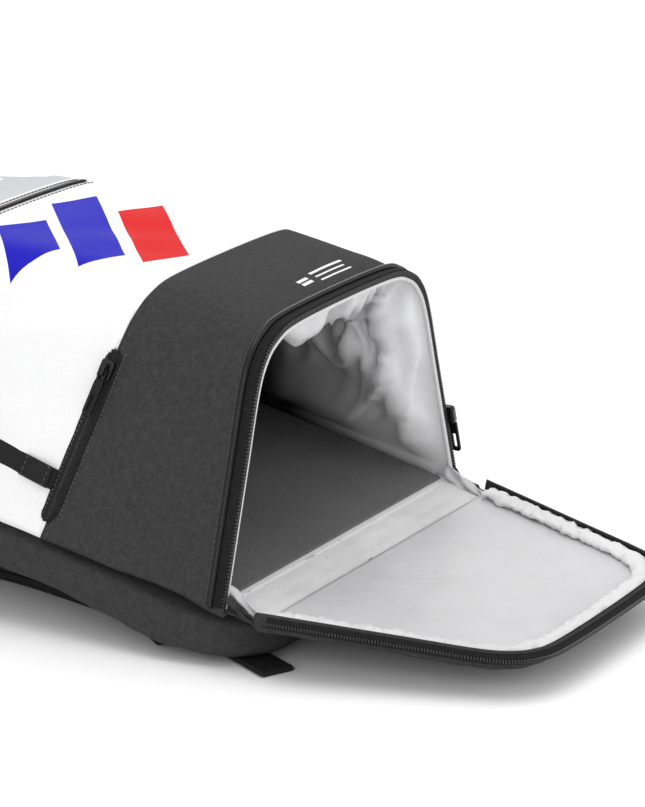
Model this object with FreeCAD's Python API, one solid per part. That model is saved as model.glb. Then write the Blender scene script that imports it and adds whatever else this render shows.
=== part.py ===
import FreeCAD, Part
import math
import os

# A racket backpack that lies on its back, with its shoe flap folded open onto the floor.
# Millimetres. X runs across the bag, +Y towards its top end, Z up. z = 0 is the floor.
# The modelling frame has y = 0 at the shoe opening; MIDDLE_Y centres the whole bag on export.

V = FreeCAD.Vector

# ---- driving dimensions -------------------------------------------------------------
MIDDLE_Y = 144.14       # the middle of the whole length, from the flap's tip to the handle
LEAN = 0.3185           # how far each side leans in for each millimetre of height
WALL = 3.0              # padded fabric wall
CLOTH = 1.2             # a lining or a single skin
GAP = 0.3               # clearance between neighbouring skins
TAPE = 1.1              # thickness of a zip tape
HALF_SPLIT = 0.8        # half the gap between the two tapes of a zip
TAPE_WIDTH = 8.0        # one side of a zip tape
LENGTH = 465.0          # from the shoe opening to the top end
SHOE_DEPTH = 205.0      # depth of the shoe compartment

# Body of the bag: y, height of the groove over the racket compartment, height of the
# front, and half the width at the groove.
BODY = (
    (-16.0, 33.0, 201.3, 151.5),
    (0.0, 36.5, 204.5, 152.0),
    (40.0, 45.1, 212.5, 152.0),
    (80.0, 53.7, 220.5, 152.0),
    (120.0, 62.3, 225.5, 152.0),
    (160.0, 70.9, 229.5, 152.0),
    (200.0, 78.0, 232.0, 151.5),
    (250.0, 84.5, 233.5, 150.5),
    (300.0, 90.5, 232.0, 149.0),
    (350.0, 96.0, 226.5, 146.0),
    (395.0, 101.0, 217.0, 141.0),
    (430.0, 105.5, 204.0, 133.0),
    (452.0, 111.0, 190.0, 121.0),
    (LENGTH, 116.0, 175.0, 104.0),
)
# The rounded front edge: how far below the front, and how far inside the leaning side.
FRONT_EDGE = ((34.0, 0.0), (16.5, 4.6), (7.0, 14.6), (1.5, 35.0))
SIDE_SHARES = (0.0, 0.33, 0.66)

# Racket compartment: y, underside, top, half width.
RACKET = (
    (-23.0, 10.0, 16.0, 98.0),
    (-20.0, 6.5, 22.0, 114.0),
    (-11.0, 4.2, 30.5, 131.0),
    (4.0, 3.6, 36.5, 145.0),
    (30.0, 4.8, 42.2, 151.0),
    (60.0, 9.0, 48.6, 152.0),
    (97.0, 20.0, 56.5, 152.0),
    (130.0, 29.0, 63.6, 152.0),
    (170.0, 34.0, 71.8, 151.5),
    (230.0, 41.0, 81.0, 150.5),
    (300.0, 50.0, 89.7, 148.5),
    (370.0, 59.0, 97.4, 144.0),
    (430.0, 68.0, 104.7, 133.0),
    (452.0, 73.0, 106.0, 119.0),
    (460.0, 79.0, 102.0, 100.0),
)
RACKET_BULGE = 10.0
RACKET_WALL = 2.5

# Seam between the dark lower shell and the white upper shell, in the side view.
SEAM_FOOT_Y = 132.0
SEAM_FOOT_Z = 70.0
SEAM_SLOPE = -0.29
SEAM_GAP = 0.2

# Lid of the main compartment.
LID_Y = 264.4
LID_Z = 158.0
LID_R = 40.0
LID_HINGE_Z = 235.0

# Shoe flap, a shallow tray that closes the bottom end.
FLAP_HINGE_Y = -14.0
FLAP_HINGE_Z = 31.0
FLAP_OPEN_DEG = 95.5
FLAP_DEPTH = 15.0
FLAP_FOOT_Z = 38.5
FLAP_SKIN = 2.2

# Side pocket zips.
SIDE_ZIP_LOW = 76.0
SIDE_ZIP_HIGH = 182.0
SIDE_SLIDER_Z = 170.0
SIDE_TRAVEL = 80.0

# Shoe zip slider, which is parked low on the right of the opening.
SHOE_SLIDER_Z = 88.0

# Front pocket zip and the zips at the top end.
FRONT_ZIP_Y = 248.0
FRONT_ZIP_HALF = 78.0
FRONT_SLIDER_X = -64.0
END_SLIDER_X = 9.0
RACKET_ZIP_Z = 88.0
RACKET_SLIDER_X = -66.0

# Zip slider and its pull.
SLIDER_LIFT = 1.9
SLIDER_SIZE = (13.0, 9.0, 3.0)
EYE_LIFT = 5.95
WIRE_R = 0.55
PULL_LENGTH = 31.0
PULL_WIDTH = 6.4

# Carrying gear.
WEBBING_WIDTH = 25.0
WEBBING = 2.0
WEBBING_ANGLE = math.radians(63.4)
STRAP_HALF = 30.0
HANDLE_HINGE_Y = 471.5
HANDLE_HINGE_Z = 121.0


# ---- helpers ------------------------------------------------------------------------
def between(rows, y, column):
    """The value of one column of a table of stations at y."""
    for first, second in zip(rows, rows[1:]):
        if first[0] <= y <= second[0]:
            share = (y - first[0]) / (second[0] - first[0])
            return first[column] + share * (second[column] - first[column])
    return rows[0][column] if y < rows[0][0] else rows[-1][column]


def side_x(y, z):
    """Half the bag's width at y and height z, on the straight part of its side."""
    return between(BODY, y, 3) - LEAN * (z - between(BODY, y, 1))


def block(x0, x1, y0, y1, z0, z1):
    return Part.makeBox(x1 - x0, y1 - y0, z1 - z0, V(x0, y0, z0))


def side_prism(points, x0=-220.0, x1=220.0):
    """A polygon of (y, z) points, as wide as x0 to x1."""
    wire = Part.makePolygon([V(x0, y, z) for y, z in points + points[:1]])
    return Part.Face(wire).extrude(V(x1 - x0, 0, 0))


def floor_plate(points, z0, z1):
    """A polygon of (x, y) points, as high as z0 to z1."""
    wire = Part.makePolygon([V(x, y, z0) for x, y in points + points[:1]])
    return Part.Face(wire).extrude(V(0, 0, z1 - z0))


def mirrored(shape):
    return shape.mirror(V(0, 0, 0), V(1, 0, 0))


def biggest(shape):
    """The main solid of a cut, without slivers."""
    return max(shape.Solids, key=lambda solid: solid.Volume)


def body_outline(row, inset):
    """One closed section across the bag, moved in by inset."""
    y, groove, front, half = row
    low = groove + inset
    top = front - inset
    foot = half - (math.hypot(1.0, LEAN) + LEAN) * inset
    straight = top - FRONT_EDGE[0][0] - low
    right = []
    for share in SIDE_SHARES:
        z = low + share * straight
        right.append((foot - LEAN * (z - low), z))
    for drop, inward in FRONT_EDGE:
        z = top - drop
        right.append((foot - LEAN * (z - low) - inward, z))
    left = [(-x, z) for x, z in reversed(right)]
    points = [V(x, y, z) for x, z in right + [(0.0, top)] + left]
    steps = range(len(points))
    curve = Part.BSplineCurve()
    curve.interpolate(Points=points, Parameters=[k / (len(points) - 1.0) for k in steps])
    return Part.Wire([curve.toShape(), Part.makeLine(points[-1], points[0])])


LOFTS = {}


def body(inset):
    """The whole bag as one solid, from behind the flap to the top end, moved in by inset."""
    if inset not in LOFTS:
        rows = [row for row in BODY[:-1]]
        last = BODY[-1]
        rows.append((last[0] - inset, last[1], last[2], last[3]))
        LOFTS[inset] = Part.makeLoft([body_outline(row, inset) for row in rows], True, False)
    return LOFTS[inset]


def skin(outer, inner, region):
    """The layer of the bag between two insets, inside a region."""
    return body(outer).common(region).cut(body(inner))


def slab(rows, bulge):
    """A soft slab along Y. A row is y, x0, x1, z0, z1; the long edges bulge outwards."""
    wires = []
    for y, x0, x1, z0, z1 in rows:
        mid = (z0 + z1) / 2.0
        a, b = V(x0 + bulge, y, z1), V(x1 - bulge, y, z1)
        c, d = V(x1 - bulge, y, z0), V(x0 + bulge, y, z0)
        edges = [
            Part.makeLine(a, b),
            Part.Arc(b, V(x1, y, mid), c).toShape(),
            Part.makeLine(c, d),
            Part.Arc(d, V(x0, y, mid), a).toShape(),
        ]
        wires.append(Part.Wire(edges))
    return Part.makeLoft(wires, True, False)


def placed(shape, origin, along, out):
    """A local shape (x along, z out of the surface) set at origin."""
    along = V(along).normalize()
    out = V(out).normalize()
    across = out.cross(along)
    matrix = FreeCAD.Matrix(
        along.x, across.x, out.x, origin.x,
        along.y, across.y, out.y, origin.y,
        along.z, across.z, out.z, origin.z,
        0, 0, 0, 1)
    moved = shape.copy()
    moved.transformShape(matrix, True)
    return moved


# ---- shells -------------------------------------------------------------------------
def seam_y(z):
    return SEAM_FOOT_Y + SEAM_SLOPE * (z - SEAM_FOOT_Z)


def below_seam(gap):
    """Everything on the shoe side of the slanting seam."""
    low, high = 20.0, 260.0
    return side_prism([(0.0, low), (seam_y(low) - gap, low), (seam_y(high) - gap, high), (0.0, high)])


def above_seam(gap):
    low, high = 20.0, 260.0
    return side_prism([(seam_y(low) + gap, low), (500.0, low), (500.0, high), (seam_y(high) + gap, high)])


def lid_region(gap):
    """Everything over the main zip's line, which runs up the sides and round the top end."""
    y0, z0, r = LID_Y + gap, LID_Z + gap, LID_R - gap
    x0, x1, far, high = -220.0, 220.0, 500.0, 260.0
    centre_y, centre_z = y0 + r, z0 + r
    bend = r * (1.0 - math.sqrt(0.5))
    edges = [
        Part.makeLine(V(x0, y0, high), V(x0, y0, centre_z)),
        Part.Arc(V(x0, y0, centre_z), V(x0, y0 + bend, z0 + bend), V(x0, centre_y, z0)).toShape(),
        Part.makeLine(V(x0, centre_y, z0), V(x0, far, z0)),
        Part.makeLine(V(x0, far, z0), V(x0, far, high)),
        Part.makeLine(V(x0, far, high), V(x0, y0, high)),
    ]
    return Part.Face(Part.Wire(edges)).extrude(V(x1 - x0, 0, 0))


def hollow_body():
    """The bag's wall with both compartments open inside."""
    inside = body(WALL).common(block(-200, 200, -20, LENGTH - WALL, 0, 300))
    return body(0.0).common(block(-200, 200, 0, 500, 0, 300)).cut(inside)


def shells():
    wall = hollow_body()
    lower = wall.common(below_seam(SEAM_GAP))
    upper = wall.common(above_seam(SEAM_GAP)).cut(lid_region(-HALF_SPLIT / 2))
    lid = wall.common(lid_region(HALF_SPLIT / 2))
    return {"lower_shell": lower, "upper_shell": upper, "main_lid": lid}


def linings():
    shoe_space = block(-200, 200, 2.0, SHOE_DEPTH, 0, 300)
    shoe_inside = block(-200, 200, -20, SHOE_DEPTH - CLOTH, 0, 300)
    shoe = body(WALL + GAP).common(shoe_space).cut(body(WALL + GAP + CLOTH).common(shoe_inside))
    divider = body(WALL + GAP).common(block(-200, 200, SHOE_DEPTH + 1.0, SHOE_DEPTH + 6.0, 0, 300))
    main_space = block(-200, 200, SHOE_DEPTH + 9.0, LENGTH - WALL - 1.0, 0, 300)
    main = skin(WALL + GAP, WALL + GAP + CLOTH, main_space)
    return {
        "shoe_lining": shoe,
        "compartment_divider": divider,
        "main_lining": main.cut(lid_region(-1.0)),
        "lid_lining": main.common(lid_region(1.0)),
    }


def base_insert():
    """The loose stiff sheet under the shoes."""
    lift = WALL + GAP + CLOTH + 0.6
    rows = []
    for y in (6.0, 40.0, 80.0, 120.0, 160.0, 198.0):
        low = between(BODY, y, 1) + lift
        half = between(BODY, y, 3) - 14.0
        rows.append((y, -half, half, low, low + 2.0))
    return slab(rows, 0.5)


# ---- racket compartment and back ----------------------------------------------------
def racket_rows(inset):
    rows = []
    for y, low, high, half in RACKET:
        rows.append((y, inset - half, half - inset, low + inset, high - inset))
    return rows


def racket_compartment():
    outer = slab(racket_rows(0.0), RACKET_BULGE)
    inner = slab(racket_rows(RACKET_WALL), RACKET_BULGE)
    inner = inner.common(block(-200, 200, RACKET[0][0] + 3.0, RACKET[-1][0] - RACKET_WALL, 0, 200))
    return outer.cut(inner)


def foam_board():
    """The stiff foam sheet that lines the racket compartment's back."""
    rows = []
    for y, low, high, half in RACKET:
        bottom = low + RACKET_WALL + 0.8
        rows.append((y, 22.0 - half, half - 22.0, bottom, bottom + 4.0))
    return slab(rows, 1.0).common(block(-200, 200, 10, 430, 0, 200))


def under_back(y0, y1, x0, x1, drop, thick):
    """A sheet that follows the underside of the racket compartment, drop below it."""
    rows = []
    for y, low, high, half in RACKET:
        rows.append((y, x0, x1, low - drop - thick, low - drop))
    return slab(rows, min(4.0, (x1 - x0) / 6.0)).common(block(-200, 200, y0, y1, -20, 200))


def back_pieces():
    panel = under_back(75.0, 436.0, -124.0, 124.0, 1.4, 2.6)
    panel = biggest(panel.cut(slab(racket_rows(-0.4), RACKET_BULGE)))
    pad = under_back(134.0, 384.0, 16.0, 104.0, 4.8, 8.0)
    lumbar = under_back(84.0, 122.0, -64.0, 64.0, 4.8, 4.8)
    return {
        "back_panel": panel,
        "back_pad_right": pad,
        "back_pad_left": mirrored(pad),
        "lumbar_pad": lumbar,
    }


# ---- carrying gear ------------------------------------------------------------------
# Shoulder strap on the right: y, middle x, underside. It lies on the floor, then climbs.
STRAP = (
    (122.0, 73.0, -1.0),
    (150.0, 66.0, -1.0),
    (190.0, 57.0, -1.0),
    (240.0, 51.0, -1.0),
    (290.0, 48.0, -1.0),
    (330.0, 46.0, 6.0),
    (370.0, 45.0, 20.0),
    (400.0, 44.0, 34.0),
    (425.0, 44.0, 47.0),
    (444.0, 44.0, 51.0),
)
STRAP_THICK = 14.0


def shoulder_strap():
    rows = []
    for y, middle, low in STRAP:
        rows.append((y, middle - STRAP_HALF, middle + STRAP_HALF, low, low + STRAP_THICK))
    return slab(rows, 5.0).common(block(-200, 200, 0, 500, 0.0, 200))


def webbing_strip(start, length, width, z0, z1, angle=WEBBING_ANGLE):
    """A straight strip on the floor that starts at (x, y) and runs in and up the bag."""
    dx, dy = -math.cos(angle), math.sin(angle)
    nx, ny = dy * width / 2.0, -dx * width / 2.0
    x0, y0 = start
    x1, y1 = x0 + dx * length, y0 + dy * length
    return floor_plate([(x0 - nx, y0 - ny), (x0 + nx, y0 + ny), (x1 + nx, y1 + ny), (x1 - nx, y1 - ny)], z0, z1)


TAB_END = (136.0, -29.5)
TAB_LENGTH = 46.0
LOWER_WEBBING_LENGTH = 98.0
TAIL_START = (127.0, 50.0)
TAIL_LENGTH = 72.0
TAIL_ANGLE = math.radians(52.0)
LOCK_SIZE = (34.0, 24.0, 4.0)
LOCK_LIFT = 5.2


def along_strip(start, distance, angle=WEBBING_ANGLE):
    return (start[0] - math.cos(angle) * distance, start[1] + math.sin(angle) * distance)


def ladder_lock():
    """A frame with two slots; its pivot edge is towards the padded strap."""
    wide, long, thick = LOCK_SIZE
    frame = block(-wide / 2, wide / 2, -long, 0, 0, thick)
    frame = frame.makeFillet(1.2, frame.Edges)
    for far in (-4.5, -13.5):
        frame = frame.cut(block(-13.2, 13.2, far - 5.5, far, -1, thick + 1))
    return frame


LOCK_PIVOT = (78.5, 112.0)


def strap_gear():
    tab = webbing_strip(TAB_END, TAB_LENGTH, WEBBING_WIDTH, 0.0, 3.0)
    lower_start = along_strip(TAB_END, TAB_LENGTH + GAP)
    lower = webbing_strip(lower_start, LOWER_WEBBING_LENGTH, WEBBING_WIDTH, 0.0, WEBBING)
    tail = webbing_strip(TAIL_START, TAIL_LENGTH, WEBBING_WIDTH, WEBBING + 0.5, WEBBING + 2.3, TAIL_ANGLE)
    along = V(-math.cos(WEBBING_ANGLE), math.sin(WEBBING_ANGLE), 0)
    across = V(along.y, -along.x, 0)
    lock = placed(ladder_lock(), V(LOCK_PIVOT[0], LOCK_PIVOT[1], LOCK_LIFT), across, V(0, 0, 1))
    return {
        "anchor_tab": tab,
        "strap_webbing": lower,
        "webbing_tail": tail,
        "ladder_lock": lock,
        "shoulder_strap": shoulder_strap(),
    }


def side_strap():
    """The flat strap that crosses the white side from the pocket zip to the main zip."""
    low_y, low_z, high_y, high_z = 121.5, 98.7, 262.0, 139.5
    dy, dz = high_y - low_y, high_z - low_z
    size = math.hypot(dy, dz)
    ny, nz = -dz / size * 6.75, dy / size * 6.75
    outline = [
        (low_y - ny, low_z - nz),
        (high_y - ny, high_z - nz),
        (high_y + ny, high_z + nz),
        (low_y + ny, low_z + nz),
    ]
    region = side_prism(outline, 60.0, 220.0).common(above_seam(TAPE_WIDTH + 1.0))
    return skin(-2.2, -0.5, region)


def top_handle():
    """A webbing loop that hangs from the top end, with round ends in the anchor's ears."""
    half, reach, thick, high = 38.0, 26.0, 3.5, 12.0
    outer = block(-half, half, 0.0, reach, -high / 2, high / 2)
    corners = [e for e in outer.Edges if e.BoundBox.ZLength > high - 1 and e.BoundBox.Center.y > 1]
    outer = outer.makeFillet(20.0, corners)
    loop = outer.cut(block(-half + thick, half - thick, -1, reach - thick, -high, high))
    loop = loop.cut(block(-half - 1, half + 1, -1, 10.0, 3.0, high))
    loop = loop.cut(block(-half - 1, half + 1, -1, 10.0, -high, -3.0))
    for side in (-1, 1):
        x = side * (half - thick / 2)
        loop = loop.fuse(Part.makeCylinder(3.0, thick, V(x - thick / 2, 0, 0), V(1, 0, 0)))
    loop = biggest(loop.removeSplitter())
    loop.rotate(V(0, 0, 0), V(1, 0, 0), -90)
    loop.translate(V(0, HANDLE_HINGE_Y, HANDLE_HINGE_Z))
    return loop


def handle_anchor():
    """The stitched patch on the top end that carries the handle between two pairs of ears."""
    middle = HANDLE_HINGE_Z
    plate = block(-46, 46, LENGTH + 0.3, LENGTH + 2.3, middle - 4.0, middle + 10.0)
    for side in (-1, 1):
        for inner, outer in ((31.2, 33.6), (38.4, 40.8)):
            x0, x1 = sorted((side * inner, side * outer))
            plate = plate.fuse(block(x0, x1, LENGTH + 1.0, HANDLE_HINGE_Y + 2.0, middle - 2.5, middle + 2.5))
    return plate.removeSplitter()


# ---- zips ---------------------------------------------------------------------------
def zip_slider(across=False):
    """x along the pull, z out of the tape. The bridge over the middle holds the pull's eye.
    Across turns the plate, for a zip that the pull hangs across."""
    long, wide, thick = SLIDER_SIZE
    if across:
        long, wide = wide, long
    plate = block(-long / 2, long / 2, -wide / 2, wide / 2, SLIDER_LIFT, SLIDER_LIFT + thick)
    upright = [e for e in plate.Edges if e.BoundBox.ZLength > thick - 0.1]
    plate = plate.makeFillet(2.4, upright)
    top = SLIDER_LIFT + thick
    bridge = block(-3.8, 3.8, -0.9, 0.9, top - 0.4, top + 3.2)
    bridge = bridge.cut(block(-2.5, 2.5, -2, 2, top, top + 2.1))
    return plate.fuse(bridge).removeSplitter()


def zip_pull():
    """Lies along -x from its cross-bar, which passes under the slider's bridge."""
    bar = Part.makeCylinder(WIRE_R, 5.2, V(0, -2.6, EYE_LIFT), V(0, 1, 0))
    pull = bar
    for side in (-1, 1):
        y0, y1 = sorted((side * 1.5, side * 2.6))
        pull = pull.fuse(block(-8.0, 0.0, y0, y1, EYE_LIFT - WIRE_R, EYE_LIFT + WIRE_R))
    tab = block(-PULL_LENGTH, -7.0, -PULL_WIDTH / 2, PULL_WIDTH / 2, EYE_LIFT - 0.6, EYE_LIFT + 0.8)
    upright = [e for e in tab.Edges if e.BoundBox.ZLength > 1.3]
    tab = tab.makeFillet(2.2, upright)
    tab = tab.cut(block(-PULL_LENGTH + 3.0, -PULL_LENGTH + 14.0, -1.2, 1.2, 0, 20))
    return pull.fuse(tab).removeSplitter()


def side_frame(side, z, y=None):
    """Origin, upward direction along the seam, and outward normal on one side (+1 right)."""
    y = seam_y(z) if y is None else y
    slope = (BODY[4][1] - BODY[1][1]) / (BODY[4][0] - BODY[1][0])
    origin = V(side * side_x(y, z), y, z)
    out = V(side, -LEAN * slope, LEAN).normalize()
    rise = LEAN * (1.0 - slope * SEAM_SLOPE)
    along = V(-side * rise, SEAM_SLOPE, 1.0).normalize()
    return origin, along, out


def shoe_frame():
    """The same for the shoe zip, where it runs straight up the right side at y = 0."""
    origin = V(side_x(0.0, SHOE_SLIDER_Z), 0.0, SHOE_SLIDER_Z)
    out = V(1.0, 0.0, LEAN).normalize()
    along = V(-LEAN, 0.0, 1.0).normalize()
    return origin, along, out


def fittings():
    """Every slider with its pull: name, origin, direction from the pull to the slider, normal."""
    top_z = between(BODY, FRONT_ZIP_Y, 2)
    right = side_frame(1, SIDE_SLIDER_Z)
    left = side_frame(-1, SIDE_SLIDER_Z)
    end_y, racket_y = LENGTH, RACKET[-1][0]
    up, top_out = V(0, 0, 1), V(0, 1, 0)
    return {
        "side_{}_right": right,
        "side_{}_left": left,
        "shoe_{}": shoe_frame(),
        "front_{}": (V(FRONT_SLIDER_X, FRONT_ZIP_Y, top_z + 0.3), V(-1, 0, 0), V(0, 0, 1)),
        "main_{}_right": (V(END_SLIDER_X, end_y, LID_Z), up, top_out),
        "main_{}_left": (V(-END_SLIDER_X, end_y, LID_Z), up, top_out),
        "racket_{}": (V(RACKET_SLIDER_X, racket_y, RACKET_ZIP_Z), up, top_out),
    }


def sliders_and_pulls():
    made = {}
    for name, (origin, along, out) in fittings().items():
        slider = zip_slider(across=name.startswith(("main", "racket")))
        made[name.format("slider")] = placed(slider, origin, along, out)
        made[name.format("pull")] = placed(zip_pull(), origin, along, out)
    return made


def round_opening(near, far):
    """The part of space near to far behind the opening's edge, over its foot."""
    return block(-220, 220, near, far, FLAP_FOOT_Z + 1.0, 300)


def zip_tapes():
    outer, inner = -(GAP + TAPE), -GAP
    half = TAPE_WIDTH - 1.5
    strip = [
        (seam_y(SIDE_ZIP_LOW) - half, SIDE_ZIP_LOW),
        (seam_y(SIDE_ZIP_LOW) + half, SIDE_ZIP_LOW),
        (seam_y(SIDE_ZIP_HIGH) + half, SIDE_ZIP_HIGH),
        (seam_y(SIDE_ZIP_HIGH) - half, SIDE_ZIP_HIGH),
    ]
    side = skin(outer, inner, side_prism(strip, 60.0, 220.0))
    front_box = block(-FRONT_ZIP_HALF, FRONT_ZIP_HALF, FRONT_ZIP_Y - half, FRONT_ZIP_Y + half, 200, 260)
    low_side = block(-220, 220, 0, 500, 0, LID_Z + LID_R - 8.0)
    body_side = lid_region(-TAPE_WIDTH).cut(lid_region(-HALF_SPLIT)).common(low_side)
    lid_side = lid_region(HALF_SPLIT).cut(lid_region(TAPE_WIDTH)).common(low_side)
    end_y = RACKET[-1][0]
    racket = block(-82, 82, end_y + GAP, end_y + GAP + TAPE, RACKET_ZIP_Z - half, RACKET_ZIP_Z + half)
    return {
        "side_zip_tape_right": side,
        "side_zip_tape_left": mirrored(side),
        "front_zip_tape": skin(outer, inner, front_box),
        "main_zip_tape": skin(outer, inner, body_side),
        "lid_zip_tape": skin(outer, inner, lid_side),
        "racket_zip_tape": racket,
        "shoe_zip_tape": skin(outer, inner, round_opening(HALF_SPLIT, TAPE_WIDTH)),
        "shoe_opening_piping": skin(outer - 0.8, inner, round_opening(TAPE_WIDTH + 0.6, TAPE_WIDTH + 3.8)),
    }


# ---- shoe flap ----------------------------------------------------------------------
def flap_slice(near, far):
    """The part of space that lies near to far millimetres outside the opening."""
    return block(-220, 220, -far, -near, FLAP_FOOT_Z, 300)


def flap_pieces():
    """Built closed, then folded open."""
    tray = body(0.0).common(flap_slice(HALF_SPLIT, FLAP_DEPTH))
    tray = tray.cut(body(FLAP_SKIN).common(flap_slice(-5.0, FLAP_DEPTH - FLAP_SKIN)))
    fold = block(-130, 130, -FLAP_DEPTH, -FLAP_DEPTH + FLAP_SKIN, FLAP_HINGE_Z + 1.5, FLAP_FOOT_Z + 1.0)
    board_far = FLAP_DEPTH - FLAP_SKIN - GAP
    lining_far = board_far - 2.2 - GAP
    binding_far = lining_far - CLOTH - GAP
    inside = body(FLAP_SKIN + GAP)
    closed = {
        "flap_outer": tray.fuse(fold).removeSplitter(),
        "flap_board": inside.common(flap_slice(board_far - 2.2, board_far)),
        "flap_lining": inside.common(flap_slice(lining_far - CLOTH, lining_far)),
        "flap_binding": inside.cut(body(8.0)).common(flap_slice(HALF_SPLIT + 1.0, binding_far)),
        "flap_zip_tape": body(-(GAP + TAPE)).cut(body(-GAP)).common(flap_slice(HALF_SPLIT, TAPE_WIDTH)),
    }
    for shape in closed.values():
        shape.rotate(V(0, FLAP_HINGE_Y, FLAP_HINGE_Z), V(1, 0, 0), FLAP_OPEN_DEG)
    return closed


def hinge_strip():
    """The fabric web between the bottom edge of the opening and the flap's fold."""
    profile = [(-0.4, 37.9), (-7.0, 36.4), (-12.0, 32.2), (-12.0, 31.0), (-7.0, 35.2), (-0.4, 36.7)]
    return side_prism(profile, -126.0, 126.0)


# ---- export -------------------------------------------------------------------------
def all_parts():
    parts = {}
    parts.update(shells())
    parts.update(linings())
    parts["shoe_base_insert"] = base_insert()
    parts["racket_compartment"] = racket_compartment()
    parts["racket_foam_board"] = foam_board()
    parts.update(back_pieces())
    for name, shape in strap_gear().items():
        parts[name + "_right"] = shape
        parts[name + "_left"] = mirrored(shape)
    strap = side_strap()
    parts["side_strap_right"] = strap
    parts["side_strap_left"] = mirrored(strap)
    parts["top_handle"] = top_handle()
    parts["handle_anchor"] = handle_anchor()
    parts.update(zip_tapes())
    parts.update(sliders_and_pulls())
    parts.update(flap_pieces())
    parts["flap_hinge_strip"] = hinge_strip()
    return parts


def main():
    os.makedirs("parts", exist_ok=True)
    low, high = 1e9, -1e9
    for name, shape in sorted(all_parts().items()):
        box = shape.optimalBoundingBox()
        low, high = min(low, box.YMin), max(high, box.YMax)
        print(name, len(shape.Solids), shape.isValid(), round(shape.Volume / 1000.0, 2))
        shape.translate(V(0, -MIDDLE_Y, 0))
        shape.exportStep("parts/" + name + ".step")
    print("length", round(low, 2), round(high, 2), "middle", round((low + high) / 2.0, 2))


if __name__ == "__main__":
    main()
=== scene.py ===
# %% [markdown]
# # A racket backpack, lying on its back with the shoe flap open
# The bag is already designed as solids: plain shells, pads, straps and zip parts, each where it belongs.
# This lesson dresses that frame. Cloth parts are rebuilt as meshes that sag and wrinkle, and the hard
# parts keep their solids and get proper finishes. Everything is in metres, in the frame's own axes:
# X across the bag, +Y towards its top end, Z up from the floor.

# %% Load the frame
import bpy
import bmesh
import math
import random
from mathutils import Matrix, Vector, noise


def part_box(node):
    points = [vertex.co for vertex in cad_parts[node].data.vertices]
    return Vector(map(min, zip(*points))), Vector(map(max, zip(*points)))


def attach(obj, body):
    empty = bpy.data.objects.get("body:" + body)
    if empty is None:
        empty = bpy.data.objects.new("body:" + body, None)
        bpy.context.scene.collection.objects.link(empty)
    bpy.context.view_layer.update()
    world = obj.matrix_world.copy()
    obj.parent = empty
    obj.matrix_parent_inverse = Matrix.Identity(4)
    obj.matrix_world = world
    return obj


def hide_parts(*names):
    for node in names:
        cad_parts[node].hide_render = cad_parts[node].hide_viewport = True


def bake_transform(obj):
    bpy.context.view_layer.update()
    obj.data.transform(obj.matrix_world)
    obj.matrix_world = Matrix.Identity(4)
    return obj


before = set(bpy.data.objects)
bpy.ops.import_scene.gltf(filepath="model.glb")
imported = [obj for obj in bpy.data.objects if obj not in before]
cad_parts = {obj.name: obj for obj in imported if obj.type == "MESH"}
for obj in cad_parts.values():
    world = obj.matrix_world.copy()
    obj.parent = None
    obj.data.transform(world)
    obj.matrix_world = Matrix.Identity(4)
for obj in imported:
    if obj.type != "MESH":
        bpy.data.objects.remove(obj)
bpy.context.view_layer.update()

opening_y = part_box("lower_shell")[0].y

# %% [markdown]
# ## Camera, light and floor
# A bag looks its true shape through a long lens from a low angle, because its sides then stay nearly
# parallel. The light is a white tent: one large soft source overhead, weaker ones round it, and a pale
# floor that melts into the background.

# %% Camera
CAMERA_AZIMUTH = math.radians(-60)
CAMERA_ELEVATION = math.radians(17)
CAMERA_DISTANCE = 2.5
CAMERA_REACH = 3980 / 807  # how many picture heights the lens is long
aim = Vector((-0.030, opening_y, 0.141))
back = Vector((
    math.sin(CAMERA_AZIMUTH) * math.cos(CAMERA_ELEVATION),
    -math.cos(CAMERA_AZIMUTH) * math.cos(CAMERA_ELEVATION),
    math.sin(CAMERA_ELEVATION),
))
camera_data = bpy.data.cameras.new("camera")
camera_data.sensor_width = 36.0
camera_data.lens = CAMERA_REACH * camera_data.sensor_width
camera = bpy.data.objects.new("camera", camera_data)
camera.location = aim + back * CAMERA_DISTANCE
camera.rotation_mode = "QUATERNION"
camera.rotation_quaternion = (-back).to_track_quat("-Z", "Y")
bpy.context.scene.collection.objects.link(camera)
bpy.context.scene.camera = camera
print("lens", round(camera_data.lens, 1), "mm")


# %% Light
def soft_light(name, place, size, watts):
    """A square area light that looks at the bag."""
    data = bpy.data.lights.new(name, "AREA")
    data.shape = "SQUARE"
    data.size = size
    data.energy = watts
    light = bpy.data.objects.new(name, data)
    light.location = place
    light.rotation_mode = "QUATERNION"
    light.rotation_quaternion = (aim - Vector(place)).to_track_quat("-Z", "Y")
    bpy.context.scene.collection.objects.link(light)
    return light


soft_light("top_light", (-0.25, 0.1, 2.2), 1.8, 20)
soft_light("camera_side_light", (-2.1, -0.7, 1.1), 1.5, 11)
soft_light("opening_light", (0.9, -2.1, 0.8), 1.2, 7)
soft_light("far_light", (1.9, 1.2, 1.4), 1.6, 8)

world = bpy.data.worlds.new("studio")
world.use_nodes = True
world.node_tree.nodes["Background"].inputs["Color"].default_value = (1.0, 1.0, 1.0, 1.0)
world.node_tree.nodes["Background"].inputs["Strength"].default_value = 0.78
bpy.context.scene.world = world
bpy.context.scene.view_settings.view_transform = "Standard"
print("area lights", len(bpy.data.lights), "round the bag")

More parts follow.
